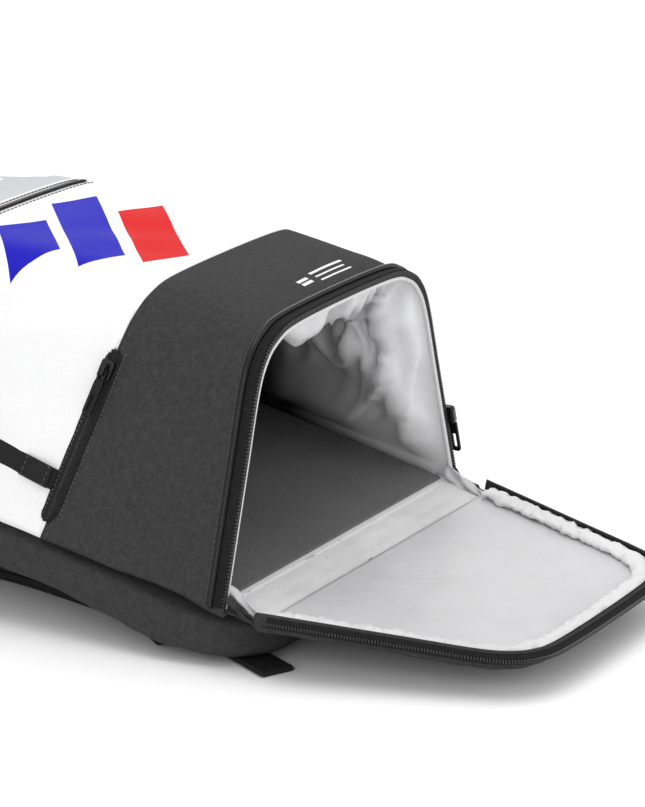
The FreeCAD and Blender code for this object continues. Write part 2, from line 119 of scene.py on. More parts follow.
# %% Floor
floor_mesh = bmesh.new()
bmesh.ops.create_grid(floor_mesh, x_segments=1, y_segments=1, size=30.0)
floor_data = bpy.data.meshes.new("floor")
floor_mesh.to_mesh(floor_data)
floor_mesh.free()
floor = bpy.data.objects.new("floor", floor_data)
floor.location = (0, 0, -0.0002)
bpy.context.scene.collection.objects.link(floor)
floor_finish = bpy.data.materials.new("pale_floor")
floor_finish.use_nodes = True
floor_shader = floor_finish.node_tree.nodes["Principled BSDF"]
floor_shader.inputs["Base Color"].default_value = (0.98, 0.98, 0.98, 1)
floor_shader.inputs["Roughness"].default_value = 0.7
floor_data.materials.append(floor_finish)
print("floor", round(2 * 30.0), "m across")

# %% [markdown]
# ## Shared effects
# Woven cloth, ribbed webbing and creases turn up in many finishes, so each is a node group that is built
# once. A group only puts out masks and heights. The shader itself stays in each material.


# %% Node helpers
def new_group(name, inputs, outputs):
    """An empty shader group with float inputs (name: default) and outputs, or vectors by name."""
    group = bpy.data.node_groups.new(name, "ShaderNodeTree")
    group.interface.new_socket("Vector", in_out="INPUT", socket_type="NodeSocketVector")
    for label, value in inputs.items():
        socket = group.interface.new_socket(label, in_out="INPUT", socket_type="NodeSocketFloat")
        socket.default_value = value
    for label in outputs:
        group.interface.new_socket(label, in_out="OUTPUT", socket_type="NodeSocketFloat")
    return group, group.nodes.new("NodeGroupInput"), group.nodes.new("NodeGroupOutput")


def math_node(tree, operation, first, second=None, third=None, clamp=False):
    """A Math node; each argument is a socket or a number."""
    node = tree.nodes.new("ShaderNodeMath")
    node.operation = operation
    node.use_clamp = clamp
    for slot, value in enumerate((first, second, third)):
        if value is None:
            continue
        if isinstance(value, bpy.types.NodeSocket):
            tree.links.new(value, node.inputs[slot])
        else:
            node.inputs[slot].default_value = value
    return node.outputs[0]


def noise_node(tree, vector, scale, detail=3.0, rough=0.55):
    node = tree.nodes.new("ShaderNodeTexNoise")
    node.inputs["Detail"].default_value = detail
    node.inputs["Roughness"].default_value = rough
    if isinstance(scale, bpy.types.NodeSocket):
        tree.links.new(scale, node.inputs["Scale"])
    else:
        node.inputs["Scale"].default_value = scale
    tree.links.new(vector, node.inputs["Vector"])
    return node.outputs["Fac"]


# %% Weave group: over-and-under threads from two crossed waves
def make_weave():
    group, source, result = new_group("weave", {"Thread": 0.0008}, ("Height", "Mottle"))
    split = group.nodes.new("ShaderNodeSeparateXYZ")
    group.links.new(source.outputs["Vector"], split.inputs[0])
    turns = math_node(group, "DIVIDE", math.pi, source.outputs["Thread"])
    along = math_node(group, "MULTIPLY", split.outputs["X"], turns)
    across = math_node(group, "MULTIPLY", split.outputs["Y"], turns)
    warp = math_node(group, "ABSOLUTE", math_node(group, "SINE", along))
    weft = math_node(group, "ABSOLUTE", math_node(group, "SINE", across))
    half_along = math_node(group, "MULTIPLY", along, 0.5)
    half_across = math_node(group, "MULTIPLY", across, 0.5)
    checks = math_node(group, "MULTIPLY", math_node(group, "SINE", half_along), math_node(group, "SINE", half_across))
    over = math_node(group, "GREATER_THAN", checks, 0.0)
    mixed = math_node(group, "MULTIPLY", warp, over)
    under = math_node(group, "MULTIPLY", weft, math_node(group, "SUBTRACT", 1.0, over))
    group.links.new(math_node(group, "ADD", mixed, under), result.inputs["Height"])
    group.links.new(noise_node(group, source.outputs["Vector"], 420.0, 4.0, 0.7), result.inputs["Mottle"])
    return group


# %% Rib group: the fine ribs across webbing and zip tape
def make_ribs():
    group, source, result = new_group("ribs", {"Pitch": 0.0016}, ("Height", "Mottle"))
    split = group.nodes.new("ShaderNodeSeparateXYZ")
    group.links.new(source.outputs["Vector"], split.inputs[0])
    turns = math_node(group, "DIVIDE", math.pi, source.outputs["Pitch"])
    half_wave = math_node(group, "SINE", math_node(group, "MULTIPLY", split.outputs["Y"], turns))
    rib = math_node(group, "ABSOLUTE", half_wave)
    quarter = math_node(group, "MULTIPLY", math_node(group, "MULTIPLY", split.outputs["X"], turns), 0.8)
    line = math_node(group, "ABSOLUTE", math_node(group, "SINE", quarter))
    both = math_node(group, "MULTIPLY_ADD", line, 0.45, rib)
    group.links.new(both, result.inputs["Height"])
    group.links.new(noise_node(group, source.outputs["Vector"], 300.0, 3.0), result.inputs["Mottle"])
    return group


# %% Crease group: broad soft dents with sharp little lines, for coated cloth
def make_creases():
    group, source, result = new_group("creases", {"Scale": 22.0}, ("Height", "Lines"))
    broad = noise_node(group, source.outputs["Vector"], source.outputs["Scale"], 3.0, 0.5)
    fine_scale = math_node(group, "MULTIPLY", source.outputs["Scale"], 3.4)
    fine = noise_node(group, source.outputs["Vector"], fine_scale, 4.0, 0.6)
    ridge = math_node(group, "ABSOLUTE", math_node(group, "SUBTRACT", fine, 0.5))
    lines = math_node(group, "SUBTRACT", 1.0, math_node(group, "MULTIPLY", ridge, 9.0, clamp=True), clamp=True)
    group.links.new(math_node(group, "MULTIPLY_ADD", lines, 0.25, broad), result.inputs["Height"])
    group.links.new(lines, result.inputs["Lines"])
    return group


weave_group, rib_group, crease_group = make_weave(), make_ribs(), make_creases()
print("groups", [g.name for g in (weave_group, rib_group, crease_group)])

# %% [markdown]
# ## Finishes
# Each finish starts from one Principled shader. The colour wanders a little with a noise, because dyed
# cloth is never one even tone, and a bump carries the threads or ribs at their real size.


# %% Finish helper
def finish(name, dark, light, roughness, effect=None, effect_size=None, bump=0.3, depth=0.0003,
           uv=True, patch_scale=9.0, sheen=0.0, coat=0.0, metallic=0.0, specular=0.5):
    """A material: two tones mixed by a mottle, a bump from an effect group, and plain constants."""
    material = bpy.data.materials.new(name)
    material.use_nodes = True
    tree = material.node_tree
    shader = tree.nodes["Principled BSDF"]
    place = tree.nodes.new("ShaderNodeTexCoord")
    patch = noise_node(tree, place.outputs["Object"], patch_scale, 4.0, 0.6)
    mottle = patch
    vector = place.outputs["UV"] if uv else place.outputs["Object"]
    if effect:
        node = tree.nodes.new("ShaderNodeGroup")
        node.node_tree = effect
        node.inputs[1].default_value = effect_size
        tree.links.new(vector, node.inputs["Vector"])
        bump_node = tree.nodes.new("ShaderNodeBump")
        bump_node.inputs["Strength"].default_value = bump
        bump_node.inputs["Distance"].default_value = depth
        tree.links.new(node.outputs["Height"], bump_node.inputs["Height"])
        tree.links.new(bump_node.outputs["Normal"], shader.inputs["Normal"])
        if effect != crease_group:
            mottle = math_node(tree, "MULTIPLY_ADD", node.outputs[1], 0.5, math_node(tree, "MULTIPLY", patch, 0.5))
    ramp = tree.nodes.new("ShaderNodeValToRGB")
    ramp.color_ramp.elements[0].position = 0.34
    ramp.color_ramp.elements[1].position = 0.66
    ramp.color_ramp.elements[0].color = (*dark, 1)
    ramp.color_ramp.elements[1].color = (*light, 1)
    tree.links.new(mottle, ramp.inputs["Fac"])
    tree.links.new(ramp.outputs["Color"], shader.inputs["Base Color"])
    gloss = math_node(tree, "MULTIPLY_ADD", patch, 0.16, roughness - 0.08)
    tree.links.new(gloss, shader.inputs["Roughness"])
    shader.inputs["Sheen Weight"].default_value = sheen
    shader.inputs["Coat Weight"].default_value = coat
    shader.inputs["Metallic"].default_value = metallic
    shader.inputs["Specular IOR Level"].default_value = specular
    return material


def grey(value):
    return (value, value, value * 1.01)


# %% Cloth, webbing and hardware finishes
dark_cloth = finish("dark_cloth", grey(0.024), grey(0.050), 0.8, weave_group, 0.0009, 0.6, 0.0003, patch_scale=240.0,
                    specular=0.2)
lining_cloth = finish("lining_cloth", (0.66, 0.66, 0.67), (0.74, 0.74, 0.75), 0.38, crease_group, 34.0, 0.22, 0.0016,
                      uv=False, patch_scale=14.0, specular=0.5)
binding_cloth = finish("binding_cloth", (0.62, 0.62, 0.62), (0.74, 0.74, 0.74), 0.5, crease_group, 90.0, 0.5, 0.0012,
                       uv=False)
webbing_cloth = finish("webbing_cloth", grey(0.008), grey(0.017), 0.7, rib_group, 0.0019, 0.9, 0.0005, specular=0.22)
tape_cloth = finish("tape_cloth", grey(0.005), grey(0.012), 0.75, rib_group, 0.0012, 0.8, 0.0003, specular=0.18)
mesh_cloth = finish("mesh_cloth", grey(0.016), grey(0.034), 0.85, weave_group, 0.0030, 1.0, 0.0011, sheen=0.1)
thread = finish("thread", grey(0.05), grey(0.09), 0.6, weave_group, 0.0004, 0.4, 0.0001, uv=False)
coil_plastic = finish("coil_plastic", grey(0.012), grey(0.022), 0.24, crease_group, 500.0, 0.1, 0.0001, uv=False)
black_lacquer = finish("black_lacquer", grey(0.003), grey(0.006), 0.14, crease_group, 240.0, 0.1, 0.0001, uv=False,
                       coat=0.5, metallic=0.0, specular=0.3)
pull_rubber = finish("pull_rubber", grey(0.004), grey(0.008), 0.2, crease_group, 300.0, 0.15, 0.0002, uv=False,
                     specular=0.3)
buckle_plastic = finish("buckle_plastic", grey(0.014), grey(0.024), 0.42, crease_group, 260.0, 0.25, 0.0002, uv=False)
board_cloth = finish("board_cloth", grey(0.085), grey(0.13), 0.6, weave_group, 0.0012, 0.4, 0.0003, uv=False)
flap_grey = finish("flap_grey_lining", (0.52, 0.52, 0.53), (0.58, 0.58, 0.59), 0.45, crease_group, 20.0, 0.3, 0.0016,
                   uv=False)
# Painted shade: the compartment divider gets a dark grey that stands in for the shade deep inside the bag.
divider_painted_shade = finish("divider_painted_shade", grey(0.10), grey(0.16), 0.7, crease_group, 40.0, 0.3, 0.001, uv=False)
webbing_cad = finish("webbing_patch", grey(0.008), grey(0.017), 0.7, rib_group, 0.0019, 0.9, 0.0005, uv=False,
                     specular=0.22)
print("finishes", len(bpy.data.materials))

# %% [markdown]
# ## The bag's shape
# The bag is one soft tube: a flat back, sides that lean in towards the front, and a rounded front edge.
# A few stations along its length say how wide and how high it is, and a smooth curve joins them. All
# shells, linings and tapes are made from this one shape, moved in or out, so that they nest as sewn
# layers do. Lengths here are in millimetres from the shoe opening; a piece becomes metres when it is done.

# %% Stations and sizes, in millimetres
LENGTH = 465.0
LEAN = 0.3185
BODY = (
    (-16.0, 33.0, 201.3, 151.5), (0.0, 36.5, 204.5, 152.0), (40.0, 45.1, 212.5, 152.0),
    (80.0, 53.7, 220.5, 152.0), (120.0, 62.3, 225.5, 152.0), (160.0, 70.9, 229.5, 152.0),
    (200.0, 78.0, 232.0, 151.5), (250.0, 84.5, 233.5, 150.5), (300.0, 90.5, 232.0, 149.0),
    (350.0, 96.0, 226.5, 146.0), (395.0, 101.0, 217.0, 141.0), (430.0, 105.5, 204.0, 133.0),
    (452.0, 111.0, 190.0, 121.0), (LENGTH, 116.0, 175.0, 104.0),
)
RACKET = (
    (-23.0, 10.0, 16.0, 98.0), (-20.0, 6.5, 22.0, 114.0), (-11.0, 4.2, 30.5, 131.0),
    (4.0, 3.6, 36.5, 145.0), (30.0, 4.8, 42.2, 151.0), (60.0, 9.0, 48.6, 152.0),
    (97.0, 20.0, 56.5, 152.0), (130.0, 29.0, 63.6, 152.0), (170.0, 34.0, 71.8, 151.5),
    (230.0, 41.0, 81.0, 150.5), (300.0, 50.0, 89.7, 148.5), (370.0, 59.0, 97.4, 144.0),
    (430.0, 68.0, 104.7, 133.0), (452.0, 73.0, 106.0, 119.0), (460.0, 79.0, 102.0, 100.0),
)
FRONT_EDGE = ((34.0, 0.0), (16.5, 4.6), (7.0, 14.6), (1.5, 35.0))
SEAM_Y, SEAM_Z, SEAM_SLOPE = 132.0, 70.0, -0.29
LID_Y, LID_Z, LID_R = 264.4, 158.0, 40.0
SIDE_ZIP_LOW, SIDE_ZIP_HIGH = 76.0, 182.0
FLAP_HINGE_Y, FLAP_HINGE_Z, FLAP_OPEN = -14.0, 31.0, math.radians(95.5)
FLAP_FOOT_Z = 38.5
FRONT_ZIP_Y, FRONT_ZIP_HALF = 248.0, 78.0
SIDES = ((1, "right"), (-1, "left"))
TO_METRES = Matrix.Translation((0, opening_y, 0)) @ Matrix.Scale(0.001, 4)


# %% Smooth values and sections
def between(table, y, column):
    """A smooth value at y from a table of stations."""
    last = len(table) - 1
    y = min(max(y, table[0][0]), table[last][0])
    k = max(i for i in range(last) if table[i][0] <= y)

    def slope(i):
        low, high = max(i - 1, 0), min(i + 1, last)
        return (table[high][column] - table[low][column]) / (table[high][0] - table[low][0])

    span = table[k + 1][0] - table[k][0]
    t = (y - table[k][0]) / span
    start, end = table[k][column], table[k + 1][column]
    a = slope(k) * span - (end - start)
    b = -slope(k + 1) * span + (end - start)
    return start + t * (end - start) + t * (1 - t) * (a * (1 - t) + b * t)


def resample(points, count):
    """Points evenly spaced along an open line of points."""
    lengths = [0.0]
    for p, q in zip(points, points[1:]):
        lengths.append(lengths[-1] + (q - p).length)
    spaced, k = [], 0
    for i in range(count):
        want = lengths[-1] * i / (count - 1)
        while k < len(points) - 2 and lengths[k + 1] < want:
            k += 1
        step = lengths[k + 1] - lengths[k]
        spaced.append(points[k].lerp(points[k + 1], (want - lengths[k]) / step if step else 0.0))
    return spaced


def smooth_line(points, per_span=8, closed=False):
    """A smooth line through the points."""
    count, line = len(points), []
    for k in range(count if closed else count - 1):
        if closed:
            a, b, c, d = (points[(k + j) % count] for j in (-1, 0, 1, 2))
        else:
            a, b, c, d = (points[min(max(k + j, 0), count - 1)] for j in (-1, 0, 1, 2))
        for i in range(per_span):
            t = i / per_span
            line.append(0.5 * (2 * b + (c - a) * t + (2 * a - 5 * b + 4 * c - d) * t * t
                               + (3 * b - a - 3 * c + d) * t ** 3))
    if not closed:
        line.append(points[-1].copy())
    return line


outline_store = {}


def outline(y, inset=0.0):
    """The bag's section at y from the right foot over the front to the left foot, moved in by inset."""
    key = (round(y, 2), round(inset, 2))
    if key not in outline_store:
        low = between(BODY, y, 1) + inset
        top = between(BODY, y, 2) - inset
        foot = between(BODY, y, 3) - (math.hypot(1, LEAN) + LEAN) * inset
        rise = top - FRONT_EDGE[0][0] - low
        right = [(foot - LEAN * share * rise, low + share * rise) for share in (0.0, 0.33, 0.66)]
        right += [(foot - LEAN * (top - drop - low) - inward, top - drop) for drop, inward in FRONT_EDGE]
        left = [(-x, z) for x, z in reversed(right)]
        outline_store[key] = smooth_line([Vector((x, y, z)) for x, z in right + [(0.0, top)] + left])
    return outline_store[key]


def ring(y, inset=0.0, over=150, under=40):
    """A closed section: the outline, and the flat back that closes it."""
    line = resample(outline(y, inset), over)
    return line + [line[-1].lerp(line[0], (k + 1) / (under + 1)) for k in range(under)]


def side_point(y, z, side, lift=0.0):
    """The skin's point at y and height z on one side (+1 right), and its outward normal."""
    line = outline(y)
    half = line[:len(line) // 2 + 1]
    for p, q in zip(half, half[1:]):
        if q.z >= z:
            break
    t = min(max((z - p.z) / max(q.z - p.z, 1e-6), 0.0), 1.0)
    point, run = p.lerp(q, t), (q - p).normalized()
    normal = Vector((run.z, 0, -run.x)).normalized()
    spot = point + normal * lift
    return Vector((spot.x * side, spot.y, spot.z)), Vector((normal.x * side, 0, normal.z))


def seam_y(z):
    return SEAM_Y + SEAM_SLOPE * (z - SEAM_Z)


print("section at 0 is", round(outline(0.0)[0].x * 2), "mm wide at the back")

# %% [markdown]
# ## Ways to make a skin
# A shell grows ring by ring: one ring of edges is extruded and its new edge is moved to the next ring.
# Straps, piping and tapes are the same idea with a small profile that is carried along a path.


# %% Loft and sweep
def loft(rings, closed=True, joined=False):
    """A skin through rings of points, with its own UV map in metres."""
    bm = bmesh.new()
    row = [bm.verts.new(p) for p in rings[0]]
    count = len(row)
    ties = [(k, (k + 1) % count) for k in range(count if closed else count - 1)]
    edges = [bm.edges.new((row[a], row[b])) for a, b in ties]
    grid = [row]
    for points in rings[1:]:
        grown = bmesh.ops.extrude_edge_only(bm, edges=edges)["geom"]
        place = {vert: k for k, vert in enumerate(row)}
        fresh = [None] * count
        for vert in grown:
            if isinstance(vert, bmesh.types.BMVert):
                for edge in vert.link_edges:
                    if edge.other_vert(vert) in place:
                        fresh[place[edge.other_vert(vert)]] = vert
        new = set(fresh)
        edges = [e for e in grown if isinstance(e, bmesh.types.BMEdge) and set(e.verts) <= new]
        for vert, point in zip(fresh, points):
            vert.co = point
        row = fresh
        grid.append(row)
    if joined:
        ends = [e for e in bm.edges if e.is_boundary]
        bmesh.ops.bridge_loops(bm, edges=ends)
    lay_uv(bm, grid, closed)
    return bm, grid


def lay_uv(bm, grid, closed):
    """Writes the length along each ring and from ring to ring as the UV map, in metres."""
    uv = bm.loops.layers.uv.new("UVMap")
    spot, down = {}, 0.0
    around = 0.0
    for i, row in enumerate(grid):
        if i:
            down += (grid[i][len(row) // 2].co - grid[i - 1][len(row) // 2].co).length
        along = 0.0
        for k, vert in enumerate(row):
            if k:
                along += (row[k].co - row[k - 1].co).length
            spot[vert] = (along, down)
        around = max(around, along + (row[0].co - row[-1].co).length)
    for face in bm.faces:
        us = [spot[loop.vert][0] for loop in face.loops]
        wraps = closed and max(us) - min(us) > around / 2
        for loop in face.loops:
            u, v = spot[loop.vert]
            loop[uv].uv = ((u + around if wraps and u < around / 2 else u) / 1000, v / 1000)


def close_ends(bm, grid):
    for row in (grid[0], grid[-1]):
        bm.faces.new(row)


def sweep(path, outs, profile, closed=False):
    """Carries a closed profile of (across, out) offsets along a path with outward directions."""
    rings, count = [], len(path)
    for k, point in enumerate(path):
        ahead = path[(k + 1) % count] if closed else path[min(k + 1, count - 1)]
        behind = path[k - 1] if closed or k else path[0]
        along = (ahead - behind).normalized()
        across = outs[k].cross(along).normalized()
        out = along.cross(across).normalized()
        rings.append([point + across * a + out * b for a, b in profile])
    bm, grid = loft(rings, joined=closed)
    if not closed:
        close_ends(bm, grid)
    bmesh.ops.recalc_face_normals(bm, faces=bm.faces)
    return bm


def band_profile(wide, thick, lift=0.0, parts=6):
    """A flat band's profile with soft edges, parts faces across."""
    xs = [wide * (k / parts - 0.5) for k in range(parts + 1)]
    top = [(x, lift + thick) for x in xs[1:-1]]
    low = [(x, lift) for x in reversed(xs[1:-1])]
    edge = thick / 2 + lift
    return [(xs[0], edge)] + top + [(xs[-1], edge)] + low


def round_profile(radius, sides=10, middle=(0.0, 0.0)):
    turns = [2 * math.pi * k / sides for k in range(sides)]
    return [(middle[0] + radius * math.cos(t), middle[1] + radius * math.sin(t)) for t in reversed(turns)]


# %% Rumple, dents and the finished piece
def rumple(bm, height, size, seed, mask=None, stretch=(1, 1, 1), inwards=False):
    """Pushes the skin in and out, or only inwards, by a soft noise of that height and size."""
    bm.normal_update()
    shift = Vector((seed * 17.3, seed * 5.1, seed * 9.7))
    moves = []
    for vert in bm.verts:
        spot = Vector((vert.co.x * stretch[0], vert.co.y * stretch[1], vert.co.z * stretch[2])) / size + shift
        strength = mask(vert.co) if mask else 1.0
        push = noise.noise(spot)
        if inwards:
            push = -max(0.0, push + 0.35)
        moves.append(vert.normal * (height * strength * push))
    for vert, move in zip(bm.verts, moves):
        vert.co += move


def soft_step(value, low, high):
    t = min(max((value - low) / (high - low), 0.0), 1.0)
    return t * t * (3 - 2 * t)


def piece(name, bm, material, body="root", slot=None, replaces=(), smooth=True):
    """Turns a millimetre bmesh into an object in metres that rides on a body."""
    bmesh.ops.transform(bm, matrix=TO_METRES, verts=bm.verts)
    mesh = bpy.data.meshes.new(name)
    bm.to_mesh(mesh)
    bm.free()
    for polygon in mesh.polygons:
        polygon.use_smooth = smooth
    mesh.materials.append(material)
    obj = bpy.data.objects.new(name, mesh)
    bpy.context.scene.collection.objects.link(obj)
    if body:
        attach(obj, body)
    if replaces:
        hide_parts(*replaces)
    return obj


def thicken(obj, thickness, offset=-1.0):
    """Gives a skin its cloth thickness, in millimetres, inwards unless offset says otherwise."""
    wall = obj.modifiers.new("wall", "SOLIDIFY")
    wall.thickness = thickness / 1000
    wall.offset = offset
    wall.use_even_offset = False
    wall.use_quality_normals = True
    return obj


# %% Rows of small repeated parts
def repeat_along(path, outs, size, pitch, bevel=0.25, jitter=0.0, seed=1):
    """Small bevelled blocks, size = (along, across, out), every pitch millimetres along a path."""
    draw = random.Random(seed)
    total = sum((q - p).length for p, q in zip(path, path[1:]))
    count = max(2, int(total / pitch))
    spots = resample(path, count)
    facing = resample(outs, count)
    sample = bmesh.new()
    bmesh.ops.create_cube(sample, size=1.0)
    bmesh.ops.scale(sample, vec=Vector(size), verts=sample.verts)
    bmesh.ops.bevel(sample, geom=sample.edges, offset=bevel, segments=1, profile=0.5, affect="EDGES", material=-1)
    stamp = bpy.data.meshes.new("stamp")
    sample.to_mesh(stamp)
    sample.free()
    bm = bmesh.new()
    for k, spot in enumerate(spots):
        along = (spots[min(k + 1, count - 1)] - spots[max(k - 1, 0)]).normalized()
        out = facing[k].normalized()
        across = out.cross(along).normalized()
        turn = Matrix((along, across, along.cross(across))).transposed().to_4x4()
        wobble = Matrix.Rotation(draw.uniform(-jitter, jitter), 4, "Z")
        start = len(bm.verts)
        bm.from_mesh(stamp)
        bm.verts.ensure_lookup_table()
        bmesh.ops.transform(bm, matrix=Matrix.Translation(spot) @ turn @ wobble, verts=bm.verts[start:])
    bpy.data.meshes.remove(stamp)
    return bm


print("ways to build: loft, sweep, rumple, repeat_along")

# %% [markdown]
# ## The outer shells
# On the real bag the lower shell is a thick dark weave, and the upper shell is a smooth coated white
# cloth that keeps a few soft folds. Both are panels of one tube, so one skin is made, rumpled, and then
# cut along the slanting seam and along the lid's zip, as a pattern cutter would. Solidify gives the wall.


# %% White shell finish with slanted printed bars
BLUE, RED = (0.016, 0.014, 0.42), (0.62, 0.006, 0.008)
PRINTED_BARS = (  # middle and half width across, start and end along, in metres, and the ink
    (0.190, 0.017, 0.050, 0.118, BLUE),
    (0.149, 0.016, 0.040, 0.166, BLUE),
    (0.108, 0.016, 0.040, 0.146, RED),
)
PRINT_FLOOR, PRINT_HALF = 0.19, 0.107  # the print stays above this height and this near the middle
PANEL_HALF, PANEL_END, PANEL_SQUARENESS = 0.108, 0.40, 5.0
PANEL_GREY = (0.50, 0.51, 0.53)


def mix_colour(tree, mask, under, ink_and_shade):
    """Lays a second colour over a colour where the mask is 1: inks, the panel grey, and painted shade."""
    mix = tree.nodes.new("ShaderNodeMix")
    mix.data_type = "RGBA"
    tree.links.new(mask, mix.inputs["Factor"])
    tree.links.new(under, mix.inputs["A"])
    mix.inputs["B"].default_value = (*ink_and_shade, 1)
    return mix.outputs["Result"]


def print_and_shade_on(material):
    """A finish's tree, shader and colour, and a point's place on it: across, down the bag and up."""
    tree = material.node_tree
    shader = tree.nodes["Principled BSDF"]
    place = tree.nodes.new("ShaderNodeTexCoord")
    split = tree.nodes.new("ShaderNodeSeparateXYZ")
    tree.links.new(place.outputs["Object"], split.inputs[0])
    down = math_node(tree, "SUBTRACT", split.outputs["Y"], opening_y)
    colour = shader.inputs["Base Color"].links[0].from_socket
    return tree, shader, colour, split.outputs["X"], down, split.outputs["Z"]


def make_white_shell():
    material = finish("white_shell", (0.76, 0.76, 0.765), (0.82, 0.82, 0.825), 0.45, weave_group, 0.0006, 0.12,
                      0.00012, specular=0.03)
    tree, shader, colour, x, down, z = print_and_shade_on(material)
    along = math_node(tree, "MULTIPLY_ADD", x, 0.75, math_node(tree, "MULTIPLY", down, 0.66))
    across = math_node(tree, "MULTIPLY_ADD", x, -0.66, math_node(tree, "MULTIPLY", down, 0.75))
    beside = math_node(tree, "ABSOLUTE", x)
    above = math_node(tree, "GREATER_THAN", z, PRINT_FLOOR)
    top = math_node(tree, "MULTIPLY", above, math_node(tree, "LESS_THAN", beside, PRINT_HALF))
    for centre, half, low, high, tone in PRINTED_BARS:
        near = math_node(tree, "ABSOLUTE", math_node(tree, "SUBTRACT", across, centre))
        slant = math_node(tree, "MULTIPLY_ADD", across, 0.45, along)
        length = math_node(tree, "ABSOLUTE", math_node(tree, "SUBTRACT", slant, (low + high) / 2 + 0.45 * centre))
        inside = math_node(tree, "MULTIPLY", math_node(tree, "LESS_THAN", length, (high - low) / 2), top)
        bar = math_node(tree, "MULTIPLY", math_node(tree, "LESS_THAN", near, half), inside)
        colour = mix_colour(tree, bar, colour, tone)
    start = (FRONT_ZIP_Y + 9) / 1000
    wide = math_node(tree, "POWER", math_node(tree, "DIVIDE", beside, PANEL_HALF), PANEL_SQUARENESS)
    reach = math_node(tree, "DIVIDE", math_node(tree, "SUBTRACT", down, start), PANEL_END - start)
    far = math_node(tree, "POWER", reach, PANEL_SQUARENESS)
    rounded = math_node(tree, "LESS_THAN", math_node(tree, "ADD", wide, far), 1.0)
    panel = math_node(tree, "MULTIPLY", rounded, above)
    beyond = math_node(tree, "MULTIPLY", math_node(tree, "GREATER_THAN", down, start), panel)
    colour = mix_colour(tree, beyond, colour, PANEL_GREY)
    tree.links.new(colour, shader.inputs["Base Color"])
    return material


white_cloth = make_white_shell()
print("printed bars", len(PRINTED_BARS))

# %% Painted shade: the shoe lining is white at the mouth, with charcoal shade painted in deeper inside and lower down
# Painted shade: blends a dark tone into the colour, growing from start to end metres in from the opening and from 175
# mm high down to 115 mm, where the compartment's inside lies in shade.
def paint_depth_shade(material, start, end, tone):
    tree, shader, colour, _, down, z = print_and_shade_on(material)
    deep_shade = math_node(tree, "MULTIPLY_ADD", down, 1 / (end - start), -start / (end - start), clamp=True)
    low = math_node(tree, "MULTIPLY_ADD", z, -1 / 0.06, 0.175 / 0.06, clamp=True)
    mask = math_node(tree, "MULTIPLY", deep_shade, low)
    tree.links.new(mix_colour(tree, mask, colour, tone), shader.inputs["Base Color"])


shoe_lining_painted_shade = lining_cloth.copy()
shoe_lining_painted_shade.name = "shoe_lining_cloth"
# painted shade deep in the shoe compartment, 40 to 125 mm in from the opening
paint_depth_shade(shoe_lining_painted_shade, 0.040, 0.125, (0.022, 0.022, 0.024))


# %% A small generic label of fine white lines on the dark shell
LABEL_LINES = (  # middle along and across the bag, half width, half height, in metres
    (0.0305, 0.026, 0.020, 0.0011), (0.0258, 0.024, 0.018, 0.0007), (0.0215, 0.025, 0.019, 0.0007),
    (0.0280, -0.007, 0.0060, 0.0013), (0.0240, -0.007, 0.0060, 0.0013),
)


def add_label_lines():
    tree, shader, colour, x, down, z = print_and_shade_on(dark_cloth)
    top = math_node(tree, "GREATER_THAN", z, PRINT_FLOOR)
    for middle_y, middle_x, half_x, half_y in LABEL_LINES:
        off_y = math_node(tree, "ABSOLUTE", math_node(tree, "SUBTRACT", down, middle_y))
        off_x = math_node(tree, "ABSOLUTE", math_node(tree, "SUBTRACT", x, middle_x))
        near = math_node(tree, "LESS_THAN", off_y, half_y)
        wide = math_node(tree, "LESS_THAN", off_x, half_x)
        mask = math_node(tree, "MULTIPLY", math_node(tree, "MULTIPLY", near, wide), top)
        colour = mix_colour(tree, mask, colour, (0.8, 0.8, 0.8))
    tree.links.new(colour, shader.inputs["Base Color"])


add_label_lines()
print("label lines", len(LABEL_LINES))

# %% Cut a skin by the lid's outline and by the seam
def in_lid(spot, gap=0.0):
    """True over the main zip's line, gap millimetres inside it."""
    if spot.y < LID_Y + gap or spot.z < LID_Z + gap:
        return False
    y, z, r = LID_Y + LID_R, LID_Z + LID_R, LID_R - gap
    return not (spot.y < y and spot.z < z) or math.hypot(spot.y - y, spot.z - z) <= r


def slice_skin(bm, place, normal, faces=None):
    faces = list(faces if faces is not None else bm.faces)
    edges = {e for f in faces for e in f.edges}
    verts = {v for f in faces for v in f.verts}
    bmesh.ops.bisect_plane(bm, geom=faces + list(edges) + list(verts), plane_co=place, plane_no=normal)


def cut_lid(bm, gap, keep_lid):
    """Cuts along the main zip's line and keeps the lid or the rest."""
    slice_skin(bm, (0, LID_Y + gap, 0), (0, 1, 0))
    slice_skin(bm, (0, 0, LID_Z + gap), (0, 0, 1))
    r = LID_R - gap
    corner = Vector((0, LID_Y + LID_R, LID_Z + LID_R))
    for k in range(15):
        turn = math.pi * (1.0 + 0.5 * (k + 0.5) / 15)
        out = Vector((0, math.cos(turn), math.sin(turn)))
        near = [f for f in bm.faces if LID_Y - 6 < f.calc_center_median().y < LID_Y + LID_R + 6
                and LID_Z - 6 < f.calc_center_median().z < LID_Z + LID_R + 6]
        slice_skin(bm, corner + out * r, out, near)
    waste = [f for f in bm.faces if in_lid(f.calc_center_median(), gap) != keep_lid]
    bmesh.ops.delete(bm, geom=waste, context="FACES")


SEAM_NORMAL = Vector((0, 1, -SEAM_SLOPE)).normalized()


def cut_seam(bm, shift, keep_upper):
    place = Vector((0, SEAM_Y, SEAM_Z)) + SEAM_NORMAL * shift
    slice_skin(bm, place, SEAM_NORMAL)
    waste = [f for f in bm.faces if ((f.calc_center_median() - place).dot(SEAM_NORMAL) > 0) != keep_upper]
    bmesh.ops.delete(bm, geom=waste, context="FACES")


